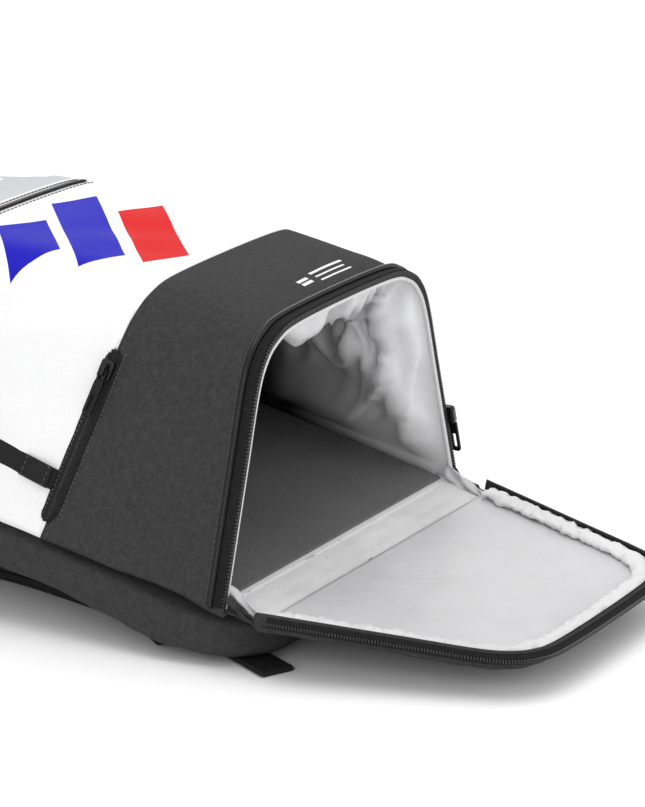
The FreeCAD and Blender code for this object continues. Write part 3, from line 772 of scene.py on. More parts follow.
# %% Where the skin may move: still near every seam, zip and strap
def quiet(spot):
    """0 at a seam or zip line, 1 well away from it."""
    seam = abs((spot - Vector((0, SEAM_Y, SEAM_Z))).dot(SEAM_NORMAL))
    main = min(abs(spot.y - LID_Y) if spot.z > LID_Z else 99.0, abs(spot.z - LID_Z) if spot.y > LID_Y else 99.0)
    corner = abs(math.hypot(spot.y - LID_Y - LID_R, spot.z - LID_Z - LID_R) - LID_R) if (
        spot.y < LID_Y + LID_R and spot.z < LID_Z + LID_R) else 99.0
    front = abs(spot.y - FRONT_ZIP_Y) if abs(spot.x) < FRONT_ZIP_HALF + 20 and spot.z > 180 else 99.0
    nearest = min(seam, main, corner, front, LENGTH - spot.y, spot.y)
    return soft_step(nearest, 6.0, 34.0)


def bag_skin(y_values, inset=0.0, end_cap=True):
    rings = [ring(y, inset) for y in y_values]
    if end_cap:
        last = rings[-1]
        middle = sum(last, Vector()) / len(last)
        for share in (0.94, 0.8, 0.6, 0.35, 0.12):
            rings.append([middle + (p - middle) * share for p in last])
    bm, grid = loft(rings)
    if end_cap:
        bm.faces.new(grid[-1])
    bmesh.ops.recalc_face_normals(bm, faces=bm.faces)
    return bm


def soft_folds(bm):
    """The few long soft folds that packed cloth keeps."""
    rumple(bm, 4.6, 90.0, 3, quiet, (1.0, 0.7, 1.3))
    rumple(bm, 1.1, 30.0, 8, quiet, (1.0, 0.8, 1.4))


stations = [k * LENGTH / 96 for k in range(97)]

# %% Creases along lines
def crease(bm, start, end, width, depth, sharp=1.0):
    """Pushes the skin along its normal beside a straight line, most on the line itself."""
    bm.normal_update()
    start, end = Vector(start), Vector(end)
    run = end - start
    moves = {}
    for vert in bm.verts:
        t = min(max((vert.co - start).dot(run) / run.length_squared, 0.0), 1.0)
        away = (vert.co - (start + run * t)).length / width
        if away < 3:
            fade = math.sin(math.pi * min(max(t, 0.04), 0.96)) ** 0.5
            moves[vert] = vert.normal * (-depth * fade * math.exp(-abs(away) ** (2.0 * sharp)))
    for vert, move in moves.items():
        vert.co += move


# %% Lower, upper and lid shells
lower = bag_skin([y for y in stations if y < 150])
soft_folds(lower)
cut_seam(lower, -0.1, False)
lower_piece = piece("lower_shell_cloth", lower, dark_cloth, "root", "dark_fabric", ["lower_shell"])
thicken(lower_piece, 3.0)

upper = bag_skin([y for y in stations if y > 55])
soft_folds(upper)
crease(upper, (-104, 104, 203), (-112, 210, 199), 11.0, 1.6)
crease(upper, (104, 104, 203), (112, 210, 199), 11.0, 1.6)
cut_seam(upper, 0.1, True)
cut_lid(upper, -0.4, False)
upper_piece = piece("upper_shell_cloth", upper, white_cloth, "root", "white_fabric", ["upper_shell"])
thicken(upper_piece, 2.6)

lid = bag_skin([y for y in stations if y > 240])
soft_folds(lid)
cut_lid(lid, 0.4, True)
lid_piece = piece("main_lid_cloth", lid, white_cloth, "main_lid", "white_fabric", ["main_lid"])
thicken(lid_piece, 2.6)
for shell in (lower_piece, upper_piece, lid_piece):
    print(shell.name, len(shell.data.polygons), "faces")

# %% [markdown]
# ## Lid fold
# Above the zip's ends the lid isn't cut: the cloth folds there. A band of the same cloth lies over the
# line between the body and the lid.

# %% Lid fold band
arc = [p for p in resample(outline(LID_Y), 150) if p.z > LID_Z + LID_R - 2]
arc_out = []
for k, p in enumerate(arc):
    run = arc[min(k + 1, len(arc) - 1)] - arc[max(k - 1, 0)]
    arc_out.append(Vector((0, -1, 0)).cross(run).normalized())
if arc_out[len(arc) // 2].z < 0:
    arc_out = [-out for out in arc_out]
fold = sweep(arc, arc_out, band_profile(20.0, 1.0, 0.15, 16))
lid_fold = piece("lid_fold_band", fold, white_cloth, None, "white_fabric")
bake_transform(lid_fold)
print("lid fold", len(arc), "points")

# %% [markdown]
# ## Linings
# The shoe compartment is lined with thin coated nylon. It isn't stretched: it hangs from the ceiling in
# pinched folds and pulls into long creases. The same ring loft is used, a little inside the shell. Its
# folds are flat facets that meet in sharp crests, and they only move the cloth inwards, off the shell.


# %% The lining tube
def lining_skin(y_values, inset, over=190):
    """A tube that starts close to the shell's edge and hangs a little further inside it."""
    rings = []
    for y in y_values:
        rings.append(ring(y, inset + 3.0 * soft_step(y, 2, 26), over, 60))
    bm, grid = loft(rings)
    bmesh.ops.recalc_face_normals(bm, faces=bm.faces)
    return bm, grid


# %% Shoe compartment lining
shoe_rows = [1.2 + k * 202.6 / 84 for k in range(85)]
lining, lining_grid = lining_skin(shoe_rows, 3.5, 260)
lining.faces.new(lining_grid[-1])


def hang(bm):
    """The ceiling and walls sag inwards away from the opening's edge."""
    for vert in bm.verts:
        height = vert.co.z - 150
        if height > 0:
            sag = 9.0 * soft_step(vert.co.y, 6, 60) * soft_step(height, 0, 50)
            vert.co.z -= sag * (0.6 + 0.8 * noise.noise(Vector((vert.co.x / 70, vert.co.y / 90, 4.0))))


hang(lining)


def clear_of_floor(spot):
    """0 at the opening's edge and on the floor, 1 on the hanging walls and ceiling."""
    return soft_step(spot.y, 2, 26) * soft_step(spot.z - between(BODY, spot.y, 1), 10.0, 34.0)


def fan(bm, centre, flat, folds, depth, seed, reach):
    """Sharp folds that spread from a pinched point; flat picks the two axes they spread over."""
    bm.normal_update()
    moves = []
    for vert in bm.verts:
        away = vert.co - Vector(centre)
        u, v = away[flat[0]], away[flat[1]]
        far = math.hypot(u, v)
        turn = math.atan2(v, u) * folds / math.pi + 1.5 * noise.noise(vert.co / 70 + Vector((seed, 0, 0)))
        ridge = abs((turn % 1.0) * 2 - 1) ** 2.6
        grow = soft_step(far, 4.0, 40.0) * (1.0 - 0.7 * soft_step(far, reach, reach * 2.2))
        near = math.exp(-(away.length / (reach * 1.3)) ** 2)
        moves.append(vert.normal * (-depth * ridge * grow * near * clear_of_floor(vert.co)))
    for vert, move in zip(bm.verts, moves):
        vert.co += move


def pleat(bm, height, size, seed, mask, turn, stretch):
    """Flat facets that meet in sharp crests, pushed inwards; turn tips their long direction."""
    bm.normal_update()
    tilt = Matrix.Rotation(turn, 3, "X")
    shift = Vector((seed * 13.1, seed * 3.7, seed * 8.3))
    moves = []
    for vert in bm.verts:
        spot = tilt @ vert.co
        spot = Vector((spot.x * stretch[0], spot.y * stretch[1], spot.z * stretch[2])) / size + shift
        crest = max(0.0, 1.0 - 2.1 * abs(noise.noise(spot)))
        moves.append(vert.normal * (-height * crest ** 1.6 * mask(vert.co)))
    for vert, move in zip(bm.verts, moves):
        vert.co += move


rumple(lining, 4.0, 90.0, 11, clear_of_floor, inwards=True)
pleat(lining, 15.0, 62.0, 3, clear_of_floor, math.radians(24), (1.0, 1.0, 0.45))
pleat(lining, 6.0, 34.0, 5, clear_of_floor, math.radians(-35), (1.0, 1.0, 0.5))
fan(lining, (118, -6, 206), (1, 2), 7, 13.0, 3, 120.0)
fan(lining, (30, -14, 206), (0, 1), 7, 11.0, 5, 110.0)
bmesh.ops.smooth_vert(lining, verts=[v for v in lining.verts if v.co.y > 4], factor=0.35, use_axis_x=True,
                      use_axis_y=True, use_axis_z=True)
for vert in lining.verts:
    floor_height = between(BODY, vert.co.y, 1) + 4.4
    half_width = between(BODY, vert.co.y, 3) - 6.0
    if vert.co.z < floor_height + 6 and abs(vert.co.x) < half_width:
        vert.co.z = floor_height
shoe_lining = piece("shoe_lining_cloth", lining, shoe_lining_painted_shade, "root", "grey_lining", ["shoe_lining"])
thicken(shoe_lining, 0.8, 0.0)
print("lining", len(shoe_lining.data.polygons), "faces")

# %% Main compartment linings
main_rows = [214.5 + k * 246 / 48 for k in range(49)]


def main_lining_skin():
    bm, grid = loft([ring(y, 3.9) for y in main_rows])
    bm.faces.new(grid[0])
    bm.faces.new(grid[-1])
    bmesh.ops.recalc_face_normals(bm, faces=bm.faces)
    for height, size, seed in ((2.2, 40.0, 21), (1.0, 14.0, 22)):
        rumple(bm, height, size, seed, quiet)
    return bm


body_lining = main_lining_skin()
cut_lid(body_lining, -1.0, False)
body_lining_piece = piece("main_lining_cloth", body_lining, lining_cloth, "root", "grey_lining", ["main_lining"])
thicken(body_lining_piece, 0.8)
top_lining = main_lining_skin()
cut_lid(top_lining, 1.0, True)
top_lining_piece = piece("lid_lining_cloth", top_lining, lining_cloth, "main_lid", "grey_lining", ["lid_lining"])
thicken(top_lining_piece, 0.8)

# %% [markdown]
# ## Zips
# A zip is a woven tape, a row of coil teeth and a slider. The slider and its pull have real shapes in
# the frame, so they stay. The tapes are swept bands, and the teeth are one small block repeated along
# the path, because hundreds of teeth have to stay light.


# %% Paths over the skin
def rim(y, inset=0.0, low=FLAP_FOOT_Z + 1.5, count=220):
    """The edge of the opening at y, without its foot, and the outward normals."""
    line = resample(outline(y, inset), count)
    outs = []
    for k in range(count):
        run = line[min(k + 1, count - 1)] - line[max(k - 1, 0)]
        outs.append(Vector((run.z, 0, -run.x)).normalized())
    if outs[count // 2].z < 0:
        outs = [-out for out in outs]
    kept = [k for k in range(count) if line[k].z > low]
    return [line[k] for k in kept], [outs[k] for k in kept]


def moved(path, outs, lift):
    return [p + out * lift for p, out in zip(path, outs)]


def side_path(places, side, lift=0.0, count=60):
    """A path over one side through (y, z) places, and its outward normals."""
    spots = resample([Vector((0, y, z)) for y, z in places], count)
    found = [side_point(p.y, p.z, side, lift) for p in spots]
    return [point for point, _ in found], [normal for _, normal in found]


def stitches(name, path, outs, body="root", material=thread, pitch=3.6, size=(2.5, 0.55, 0.5)):
    """A row of sewn stitches along a path."""
    bm = repeat_along(path, outs, size, pitch, 0.15)
    return piece(name, bm, material, body, "webbing", smooth=False)


def strip(name, path, outs, profile, material, slot, replaces=(), body="root"):
    """A swept tape, cord or band as a finished piece."""
    return piece(name, sweep(path, outs, profile), material, body, slot, replaces)


def zip_teeth(name, path, outs, size, pitch, body="root"):
    """A row of coil teeth as a finished piece."""
    return piece(name, repeat_along(path, outs, size, pitch), coil_plastic, body, "zip_tape", smooth=False)


print("the opening's rim has", len(rim(0.0)[0]), "points")

# %% Shoe opening: tape, glossy piping and teeth
strip("shoe_opening_tape", *rim(4.6), band_profile(8.2, 1.0, 0.3), tape_cloth, "zip_tape", ["shoe_zip_tape"])
strip("shoe_opening_cord", *rim(9.6), round_profile(2.1, 12, (0, 1.0)), pull_rubber, "webbing",
      ["shoe_opening_piping"])
opening_teeth = zip_teeth("shoe_opening_teeth", *rim(1.2, -0.1), (1.3, 3.4, 2.2), 2.2)
strip("shoe_lining_edge", *rim(1.4, 3.6), round_profile(1.5, 8), binding_cloth, "white_lining")
hem_path, hem_out = rim(12.9)
stitches("shoe_opening_stitches", moved(hem_path, hem_out, 0.15), hem_out)
print("opening teeth", len(opening_teeth.data.polygons), "faces")

# %% Side pocket zips: two raised lips, a tape, stitches and a bar at each end
for side, word in SIDES:
    places = [(seam_y(z), z) for z in (SIDE_ZIP_LOW, SIDE_ZIP_HIGH)]
    path, outs = side_path(places, side)
    parts = bmesh.new()
    for profile in (band_profile(10.5, 0.9, 0.2), round_profile(1.3, 10, (-2.3, 0.4)),
                    round_profile(1.3, 10, (2.3, 0.4)), round_profile(0.8, 8, (-5.0, 0.5)),
                    round_profile(0.8, 8, (5.0, 0.5))):
        lip = sweep(path, outs, profile)
        rumple(lip, 0.35, 9.0, 31 + side)
        sheet = bpy.data.meshes.new("lip")
        lip.to_mesh(sheet)
        lip.free()
        parts.from_mesh(sheet)
        bpy.data.meshes.remove(sheet)
    for vert in parts.verts:
        from_end = min(vert.co.z - SIDE_ZIP_LOW, SIDE_ZIP_HIGH - vert.co.z)
        if from_end < 6.0:
            narrow = math.sqrt(max(0.04, 1 - (1 - max(from_end, 0.0) / 6.0) ** 2))
            vert.co.y = seam_y(vert.co.z) + (vert.co.y - seam_y(vert.co.z)) * narrow
    piece("side_zip_welt_" + word, parts, webbing_cloth, "root", "zip_tape", ["side_zip_tape_" + word])
    zip_teeth("side_zip_teeth_" + word, moved(path, outs, 0.9), outs, (1.1, 1.9, 1.0), 1.8)
    for row, shift in (("inner", -7.4), ("outer", 4.0)):
        places = [(seam_y(z) + shift, z) for z in (SIDE_ZIP_LOW + 2, SIDE_ZIP_HIGH - 2)]
        line, normals = side_path(places, side, 1.1 if shift > 0 else 0.3)
        stitches("side_zip_stitches_{}_{}".format(row, word), line, normals, pitch=3.0, size=(2.0, 0.6, 0.5))
    for end, z in (("low", SIDE_ZIP_LOW + 0.8), ("high", SIDE_ZIP_HIGH - 0.8)):
        line, normals = side_path([(seam_y(z) - 2.6, z), (seam_y(z) + 2.6, z)], side, 0.4, 12)
        strip("side_zip_end_{}_{}".format(end, word), line, normals, round_profile(1.4, 8), webbing_cloth, "zip_tape")
print("side zips on both sides")

# %% Seam between the shells: a row of stitches on the dark side of the joint
for side, word in SIDES:
    for part, low, high in (("upper", SIDE_ZIP_HIGH + 2.0, 192.0), ("lower", 68.0, SIDE_ZIP_LOW - 2.0)):
        line, normals = side_path([(seam_y(z) - 4.0, z) for z in (low, high)], side, 0.2, 20)
        stitches("seam_stitches_{}_{}".format(part, word), line, normals, pitch=3.2)

# %% Front pocket zip
zip_line, zip_out = [], []
front_line = resample(outline(FRONT_ZIP_Y), 400)
for k, p in enumerate(front_line):
    if abs(p.x) <= FRONT_ZIP_HALF and p.z > 200:
        zip_line.append(p)
        zip_out.append(Vector((0, 0, 1)))
strip("front_zip_band", zip_line, zip_out, band_profile(6.4, 0.9, 0.3), tape_cloth, "zip_tape", ["front_zip_tape"])
zip_teeth("front_zip_teeth", moved(zip_line, zip_out, 1.1), zip_out, (1.2, 3.4, 0.9), 1.9)
for row, shift in (("near", -6.6), ("far", 6.6)):
    line = [Vector((p.x, p.y + shift, p.z + 0.35 + (0.0 if row == "near" else 0.1))) for p in zip_line]
    stitches("front_zip_stitches_" + row, line, zip_out, pitch=4.2, size=(2.8, 0.7, 0.6))
print("front zip", len(zip_line), "points")


# %% Main zip: up the sides, round the corner and across the end
def main_zip_path(shift):
    """The main zip's line on both sides and over the end; shift moves it over the lid (+) or the body (-)."""
    r = LID_R - shift
    corner = (LID_Y + LID_R, LID_Z + LID_R)
    places = [(LID_Y + shift, LID_Z + LID_R - 8.0)]
    for k in range(11):
        turn = math.pi * (1.0 + 0.5 * k / 10)
        places.append((corner[0] + r * math.cos(turn), corner[1] + r * math.sin(turn)))
    places.append((LENGTH - 0.4, LID_Z + shift))
    path, outs = side_path(places, 1, 0.0, 150)
    edge = path[-1].x
    steps = 20
    for k in range(1, steps):
        x = edge - 6.0 * k / 5 if k < 5 else (edge - 4.8) * (1 - (k - 4) / (steps - 4))
        path.append(Vector((x, LENGTH, LID_Z + shift)))
        outs.append(Vector((0, 1, 0)))
    whole = path + [Vector((-p.x, p.y, p.z)) for p in reversed(path)]
    facing = outs + [Vector((-o.x, o.y, o.z)) for o in reversed(outs)]
    return whole, facing


for name, body, shift, node in (("main_zip_band", "root", -4.2, "main_zip_tape"),
                                ("lid_zip_band", "main_lid", 4.2, "lid_zip_tape")):
    strip(name, *main_zip_path(shift), band_profile(7.2, 0.9, 0.3), tape_cloth, "zip_tape", [node], body)
    path, outs = main_zip_path(math.copysign(0.75, shift))
    zip_teeth(name + "_teeth", moved(path, outs, 0.8), outs, (1.2, 1.1, 1.2), 2.0, body)
print("main zip both halves")

# %% [markdown]
# ## Racket compartment, back and straps
# The racket compartment is a padded sleeve of the same dark weave. The back carries soft pads under a
# spacer mesh. The straps are foam with bound edges, and they lie folded flat between the bag and the
# floor, so their section is crowned but pressed.


# %% A soft slab through rows of (y, x0, x1, z0, z1)
def slab_ring(x0, x1, z0, z1, y, power=3.2, count=56):
    """A rounded oblong; the power says how square it is."""
    half_x, half_z = (x1 - x0) / 2, (z1 - z0) / 2
    spots = []
    for k in range(count):
        turn = 2 * math.pi * k / count
        c, s = math.cos(turn), math.sin(turn)
        spots.append(Vector(((x0 + x1) / 2 + half_x * math.copysign(abs(c) ** (2 / power), c), y,
                             (z0 + z1) / 2 + half_z * math.copysign(abs(s) ** (2 / power), s))))
    return spots


def soft_slab(rows, power=3.2, round_end=6.0, count=56):
    """A closed pad through the rows, with both ends rounded off."""
    rings = []
    first, last = rows[0][0], rows[-1][0]
    for y, x0, x1, z0, z1 in rows:
        near = min(abs(y - first), abs(last - y))
        share = math.sqrt(max(0.02, 1 - (1 - min(near / round_end, 1.0)) ** 2))
        pull = round_end * (1 - share)
        middle = (z0 + z1) / 2
        rings.append(slab_ring(x0 + pull, x1 - pull, middle - (middle - z0) * share, middle + (z1 - middle) * share,
                               y, power, count))
    bm, grid = loft(rings)
    close_ends(bm, grid)
    bmesh.ops.recalc_face_normals(bm, faces=bm.faces)
    return bm


def spaced_rows(table, y0, y1, make, step=4.0, dense=6.0):
    """Rows from y0 to y1, closer together at the ends, made by a function of y."""
    ys, y = [], y0
    while y < y1 - 0.3:
        ys.append(y)
        near = min(y - y0, y1 - y)
        y += step if near > dense else 0.9
    ys.append(y1)
    return [make(y) for y in ys]


# %% Racket compartment
def racket_row(y):
    half = between(RACKET, y, 3)
    return (y, -half, half, between(RACKET, y, 1), between(RACKET, y, 2))


racket = soft_slab(spaced_rows(RACKET, -22.8, 459.8, racket_row, 5.0, 8.0), 6.0, 5.0, 150)


def racket_quiet(spot):
    edge = between(RACKET, spot.y, 3) - abs(spot.x)
    return 1.0 - 0.85 * soft_step(edge, 4.0, 26.0)


rumple(racket, 4.0, 60.0, 41, racket_quiet, (1, 0.8, 2.0))
rumple(racket, 1.3, 16.0, 42, racket_quiet)
for vert in racket.verts:
    vert.co.z = max(vert.co.z, 0.6)
racket_piece = piece("racket_compartment_cloth", racket, dark_cloth, "root", "dark_fabric", ["racket_compartment"])
print("racket compartment", len(racket_piece.data.polygons), "faces")

# %% Racket zip at the far end
end_y = RACKET[-1][0]
end_line = [Vector((x, end_y + 0.2, 88.0)) for x in range(-82, 83, 4)]
end_out = [Vector((0, 1, 0))] * len(end_line)
strip("racket_zip_band", end_line, end_out, band_profile(13.0, 0.9, 0.3), tape_cloth, "zip_tape",
      ["racket_zip_tape"])
zip_teeth("racket_zip_teeth", moved(end_line, end_out, 1.1), end_out, (1.2, 3.4, 0.9), 1.9)
print("racket zip", round(end_line[-1].x - end_line[0].x), "mm long")

# %% Back panel, back pads and lumbar pad
def back_rows(y0, y1, x0, x1, drop, thick, step=5.0):
    def make(y):
        top = between(RACKET, y, 1) - drop
        return (y, x0, x1, top - thick, top)
    return spaced_rows(RACKET, y0, y1, make, step, 5.0)


panel = soft_slab(back_rows(75, 436, -124, 124, 1.5, 2.4), 10.0, 2.0, 72)
piece("back_panel_mesh", panel, mesh_cloth, "root", "air_mesh", ["back_panel"])
BACK_PADS = (  # the pad, its start and end along the bag, its two sides, and its thickness
    ("back_pad_right", 134, 384, 16, 104, 7.8), ("back_pad_left", 134, 384, -104, -16, 7.8),
    ("lumbar_pad", 84, 122, -64, 64, 4.6),
)
for name, y0, y1, x0, x1, thick in BACK_PADS:
    pad = soft_slab(back_rows(y0, y1, x0, x1, 4.9, thick, 4.0), 4.0, 9.0 if thick > 5 else 5.0, 72)
    rumple(pad, 0.7, 22.0, 51)
    pad_piece = piece(name + "_foam", pad, mesh_cloth, "root", "air_mesh", [name])
print("back panel, two back pads and a lumbar pad")

# %% Shoulder straps
STRAP = (
    (122.0, 73.0, -1.0), (150.0, 66.0, -1.0), (190.0, 57.0, -1.0), (240.0, 51.0, -1.0), (290.0, 48.0, -1.0),
    (330.0, 46.0, 6.0), (370.0, 45.0, 20.0), (400.0, 44.0, 34.0), (425.0, 44.0, 47.0), (444.0, 44.0, 51.0),
)
STRAP_HALF, STRAP_THICK = 30.0, 14.0
for side, word in SIDES:
    def strap_row(y):
        middle = side * between(STRAP, y, 1)
        low = max(0.3, between(STRAP, y, 2))
        return (y, middle - STRAP_HALF, middle + STRAP_HALF, low, between(STRAP, y, 2) + STRAP_THICK)

    strap = soft_slab(spaced_rows(STRAP, 122, 444, strap_row, 4.0, 8.0), 3.4, 9.0, 72)
    rumple(strap, 0.8, 26.0, 61 + side)
    strap_piece = piece("shoulder_strap_foam_" + word, strap, mesh_cloth, "root", "air_mesh",
                        ["shoulder_strap_" + word])
    for edge in (-1, 1):
        path = [Vector((side * between(STRAP, y, 1) + edge * (STRAP_HALF + 0.3), y,
                        between(STRAP, y, 2) + STRAP_THICK / 2 + 0.5)) for y in range(132, 437, 6)]
        strip("strap_binding_{}_{}".format("outer" if edge == side else "inner", word), path,
              [Vector((edge, 0, 0))] * len(path), band_profile(6.5, 1.3, -0.9, 4), webbing_cloth, "webbing")
print("two shoulder straps")

# %% Webbing, tabs and side straps
WEBBING_ANGLE, TAIL_ANGLE = math.radians(63.4), math.radians(52.0)
TAB_END, TAIL_START = (136.0, -29.5), (127.0, 50.0)
TAB_LENGTH, LOWER_LENGTH, TAIL_LENGTH = 46.0, 98.0, 72.0


def floor_strip(start, angle, length, side, z, count=30):
    """A straight path on the floor, mirrored for the left side."""
    steps = [length * k / (count - 1) for k in range(count)]
    return [Vector((side * (start[0] - math.cos(angle) * s), start[1] + math.sin(angle) * s, z)) for s in steps]


for side, word in SIDES:
    up = [Vector((0, 0, 1))] * 30
    tab = floor_strip(TAB_END, WEBBING_ANGLE, TAB_LENGTH, side, 0.1)
    strip("anchor_tab_web_" + word, tab, up, band_profile(25.0, 2.8, 0.0, 12), webbing_cloth, "webbing",
          ["anchor_tab_" + word])
    for k in range(9):
        line = floor_strip(TAB_END, WEBBING_ANGLE, TAB_LENGTH - 1, side, 3.0)
        shift = Vector((math.sin(WEBBING_ANGLE) * side, math.cos(WEBBING_ANGLE), 0)) * (2.6 * (k - 4))
        strip("anchor_tab_rib_{}_{}".format(k + 1, word), [p + shift for p in line], up, round_profile(0.8, 8),
              webbing_cloth, "webbing")
    begin = (TAB_END[0] - math.cos(WEBBING_ANGLE) * (TAB_LENGTH + 0.3),
             TAB_END[1] + math.sin(WEBBING_ANGLE) * (TAB_LENGTH + 0.3))
    strip("strap_webbing_web_" + word, floor_strip(begin, WEBBING_ANGLE, LOWER_LENGTH, side, 0.1), up,
          band_profile(25.0, 1.8, 0.0, 12), webbing_cloth, "webbing", ["strap_webbing_" + word])
    tail = "webbing_tail_" + word
    strip("webbing_tail_web_" + word, floor_strip(TAIL_START, TAIL_ANGLE, TAIL_LENGTH, side, 2.55), up,
          band_profile(25.0, 1.6, 0.0, 12), webbing_cloth, "webbing", [tail], tail)
    strip("side_strap_web_" + word, *side_path([(128.2, 100.6), (261.0, 139.2)], side),
          band_profile(13.5, 1.7, 0.5, 8), webbing_cloth, "webbing", ["side_strap_" + word])
    strip("side_strap_fold_" + word, *side_path([(131.0, 101.5), (152.0, 107.6)], side, 0.0, 20),
          band_profile(14.0, 1.9, 2.1, 8), webbing_cloth, "webbing")
    for k, y in enumerate((133.5, 149.5)):
        z = 101.5 + (y - 131.0) * 0.29
        line, normals = side_path([(y + 1.6, z - 5.4), (y - 1.6, z + 5.4)], side, 4.3, 10)
        stitches("side_strap_stitches_{}_{}".format(k + 1, word), line, normals, pitch=2.6, size=(1.9, 0.6, 0.5))
print("webbing on both sides")

# %% [markdown]
# ## Shoe flap
# The flap is a shallow cloth tray with a stiff board in it. A zip tape runs round its edge, and a soft
# white binding, gathered into puckers, covers the raw edges inside. It is made closed over the opening,
# where its outline is the bag's own section, and then turned open about its fold.

# %% Turn a closed piece open
OPEN_FLAP = (Matrix.Translation((0, FLAP_HINGE_Y, FLAP_HINGE_Z)) @ Matrix.Rotation(FLAP_OPEN, 4, "X")
             @ Matrix.Translation((0, -FLAP_HINGE_Y, -FLAP_HINGE_Z)))


def flap_piece(name, bm, material, slot, replaces=(), smooth=True):
    bmesh.ops.transform(bm, matrix=OPEN_FLAP, verts=bm.verts)
    return piece(name, bm, material, "shoe_flap", slot, replaces, smooth)


def flap_ring(y, inset, low=FLAP_FOOT_Z):
    return [Vector((p.x, p.y, max(p.z, low))) for p in ring(y, inset, 190, 70)]


def disc_rings(edge, shares, middle=Vector((0, 0, 118))):
    centre = Vector((middle.x, edge[0].y, middle.z))
    return [[centre + (p - centre) * share for p in edge] for share in shares]


# %% Outer tray and its tape
edge_rings = [flap_ring(y, inset) for y, inset in (
    (-1.0, 1.2), (-1.5, 0.3), (-3.5, 0.0), (-6.5, 0.2), (-9.5, 0.5), (-12.0, 1.6), (-13.8, 3.6), (-14.8, 7.0))]
tray, tray_grid = loft(edge_rings + disc_rings(edge_rings[-1], (0.93, 0.84, 0.72, 0.58, 0.42, 0.26, 0.1)))
tray.faces.new(tray_grid[-1])
foot = [f for f in tray.faces if all(v.co.z < FLAP_FOOT_Z + 0.2 and v.co.y > -14.9 for v in f.verts)]
bmesh.ops.delete(tray, geom=foot, context="FACES")
bmesh.ops.recalc_face_normals(tray, faces=tray.faces)
rumple(tray, 1.6, 42.0, 71, lambda spot: soft_step(-spot.y, 3.0, 12.0))
rumple(tray, 0.6, 12.0, 72, lambda spot: soft_step(-spot.y, 3.0, 9.0))
flap_tray = flap_piece("flap_outer_cloth", tray, dark_cloth, "dark_fabric", ["flap_outer"])
thicken(flap_tray, 1.4, 0.0)

band_path, band_out = rim(-3.4, -0.8, 46.0)
tilted = [(Vector((0, 1, 0)) * 0.95 + out * 0.3).normalized() for out in band_out]
flap_piece("flap_zip_band", sweep(band_path, tilted, band_profile(8.4, 0.9, 0.2)), tape_cloth, "zip_tape",
           ["flap_zip_tape"])
teeth_path, teeth_out = rim(-4.6, -5.3, 46.0)
flap_piece("flap_zip_teeth", repeat_along(teeth_path, teeth_out, (1.15, 1.9, 2.4), 1.9), coil_plastic, "zip_tape",
           smooth=False)
piping_path, piping_out = rim(-8.2, -0.4, 42.0)
flap_piece("flap_edge_cord", sweep(piping_path, piping_out, round_profile(1.5, 8)), webbing_cloth, "webbing")

# %% Puckered binding and lining
bind_path, _ = rim(-4.6, 8.0, 45.0, 420)
oval = [(6.8 * math.cos(t), 2.9 * math.sin(t)) for t in (2 * math.pi * k / 18 for k in range(18))]
binding = sweep(bind_path, [Vector((0, 1, 0))] * len(bind_path), oval)
rumple(binding, 1.5, 8.0, 73)
rumple(binding, 1.5, 3.6, 74)
for vert in binding.verts:
    vert.co.y = min(vert.co.y, -0.5)
flap_piece("flap_binding_cloth", binding, binding_cloth, "white_lining", ["flap_binding"])

lining_edge_ring = flap_ring(-8.6, 5.5, FLAP_FOOT_Z + 2.0)
pad_rings = [lining_edge_ring] + disc_rings(
    lining_edge_ring, (0.97, 0.94, 0.9, 0.86, 0.8, 0.74, 0.67, 0.6, 0.52, 0.44, 0.36, 0.28, 0.2, 0.13))
flap_lining, flap_grid = loft(pad_rings)
flap_lining.faces.new(flap_grid[-1])
bmesh.ops.recalc_face_normals(flap_lining, faces=flap_lining.faces)
flap_lining.faces.ensure_lookup_table()
if flap_lining.faces[len(flap_lining.faces) // 2].normal.y < 0:
    bmesh.ops.reverse_faces(flap_lining, faces=flap_lining.faces)
rumple(flap_lining, 1.6, 45.0, 75, lambda spot: soft_step(spot.z, 52.0, 84.0))
rumple(flap_lining, 0.4, 14.0, 76, lambda spot: soft_step(spot.z, 46.0, 70.0))
for vert in flap_lining.verts:
    vert.co.y = max(vert.co.y, -9.9)
flap_lining_piece = flap_piece("flap_lining_cloth", flap_lining, flap_grey, "grey_lining", ["flap_lining"])
thicken(flap_lining_piece, 0.7, 0.0)
print("flap", len(flap_tray.data.polygons), "faces")


# %% Fold between the body and the flap, and the gussets at its ends
def fold_point(share, x=0.0, lift=0.0):
    """A point on the fold's sheet, share 0 at the opening's foot and 1 on the flap."""
    line = [Vector((0, 3.0, 39.3)), Vector((0, -5.0, 37.2)), Vector((0, -12.0, 35.0)), Vector((0, -20.0, 33.6)),
            Vector((0, -27.0, 32.8))]
    curve = resample(smooth_line(line), 41)
    spot = curve[int(round(share * 40))]
    return Vector((x, spot.y, spot.z + lift))


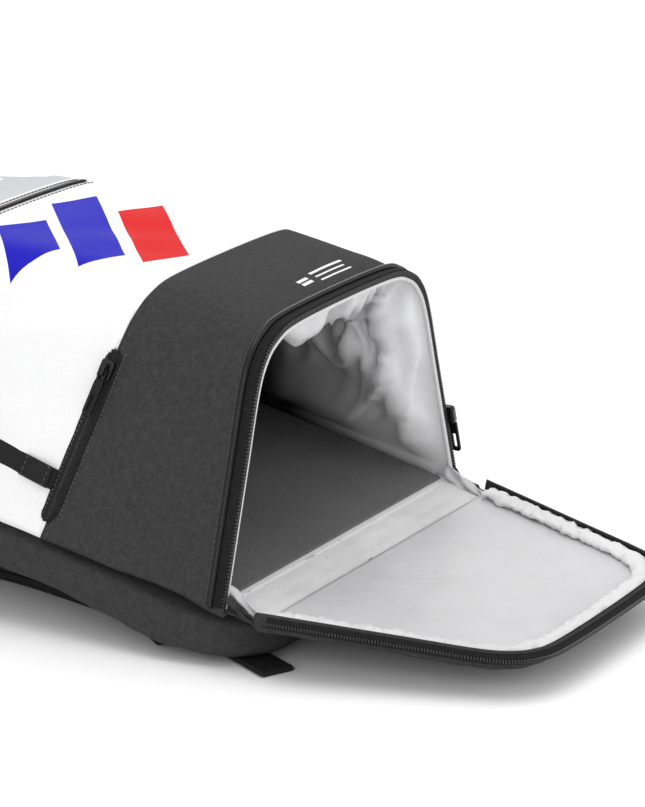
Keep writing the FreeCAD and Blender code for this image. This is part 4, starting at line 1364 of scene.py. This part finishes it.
web_rings = [[fold_point(k / 20, x) for x in range(-146, 147, 4)] for k in range(21)]
web, _ = loft(web_rings, closed=False)
rumple(web, 1.0, 14.0, 81)
web_piece = piece("flap_fold_cloth", web, dark_cloth, None, "dark_fabric", ["flap_hinge_strip"])
thicken(web_piece, 1.2, 0.0)
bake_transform(web_piece)
inner_web, _ = loft([[fold_point(k / 20, x, 1.9 - 1.6 * soft_step(k, 12, 20)) for x in range(-144, 145, 4)]
                     for k in range(21)], closed=False)
rumple(inner_web, 0.9, 16.0, 82, lambda spot: soft_step(spot.y, -26.0, -19.0))
inner_piece = piece("flap_fold_lining", inner_web, binding_cloth, None, "white_lining")
thicken(inner_piece, 0.8, 0.0)
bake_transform(inner_piece)

for side, word in SIDES:
    for layer, x0, rise, material, slot, seed in (("inner", 141.0, 15.0, flap_grey, "grey_lining", 83),
                                                  ("outer", 146.5, 9.0, dark_cloth, "dark_fabric", 84)):
        rings = []
        for k in range(17):
            base = fold_point(k / 16, side * x0)
            fall = rise * (1 - k / 16) ** 0.8 + 1.2
            rings.append([base + Vector((side * 2.0 * math.sin(j * 1.1 + k * 0.5), 0, fall * j / 8))
                          for j in range(9)])
        gusset, _ = loft(rings, closed=False)
        rumple(gusset, 2.2, 6.0, seed + side)
        gusset_piece = piece("flap_gusset_{}_{}".format(layer, word), gusset, material, None, slot)
        thicken(gusset_piece, 0.8, 0.0)
        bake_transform(gusset_piece)
print("fold and four gussets")

# %% [markdown]
# ## Parts kept from the frame
# Sliders, pulls, buckles, boards and the handle already have their true shapes. They only need finishes:
# black lacquered metal, rubber, moulded plastic, webbing and board cloth.

# %% Finishes on the kept parts
KEPT = {
    "slider": black_lacquer, "pull": pull_rubber, "ladder_lock": buckle_plastic, "top_handle": webbing_cad,
    "handle_anchor": webbing_cad, "flap_board": board_cloth, "shoe_base_insert": board_cloth,
    # the divider's dark grey is painted shade for the bag's deep inside
    "racket_foam_board": board_cloth, "compartment_divider": divider_painted_shade,
}
dressed = 0
for name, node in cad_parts.items():
    for word, material in KEPT.items():
        if word in name:
            for slot in node.material_slots:
                slot.material = material
            dressed += 1
            break
print("kept parts dressed", dressed)
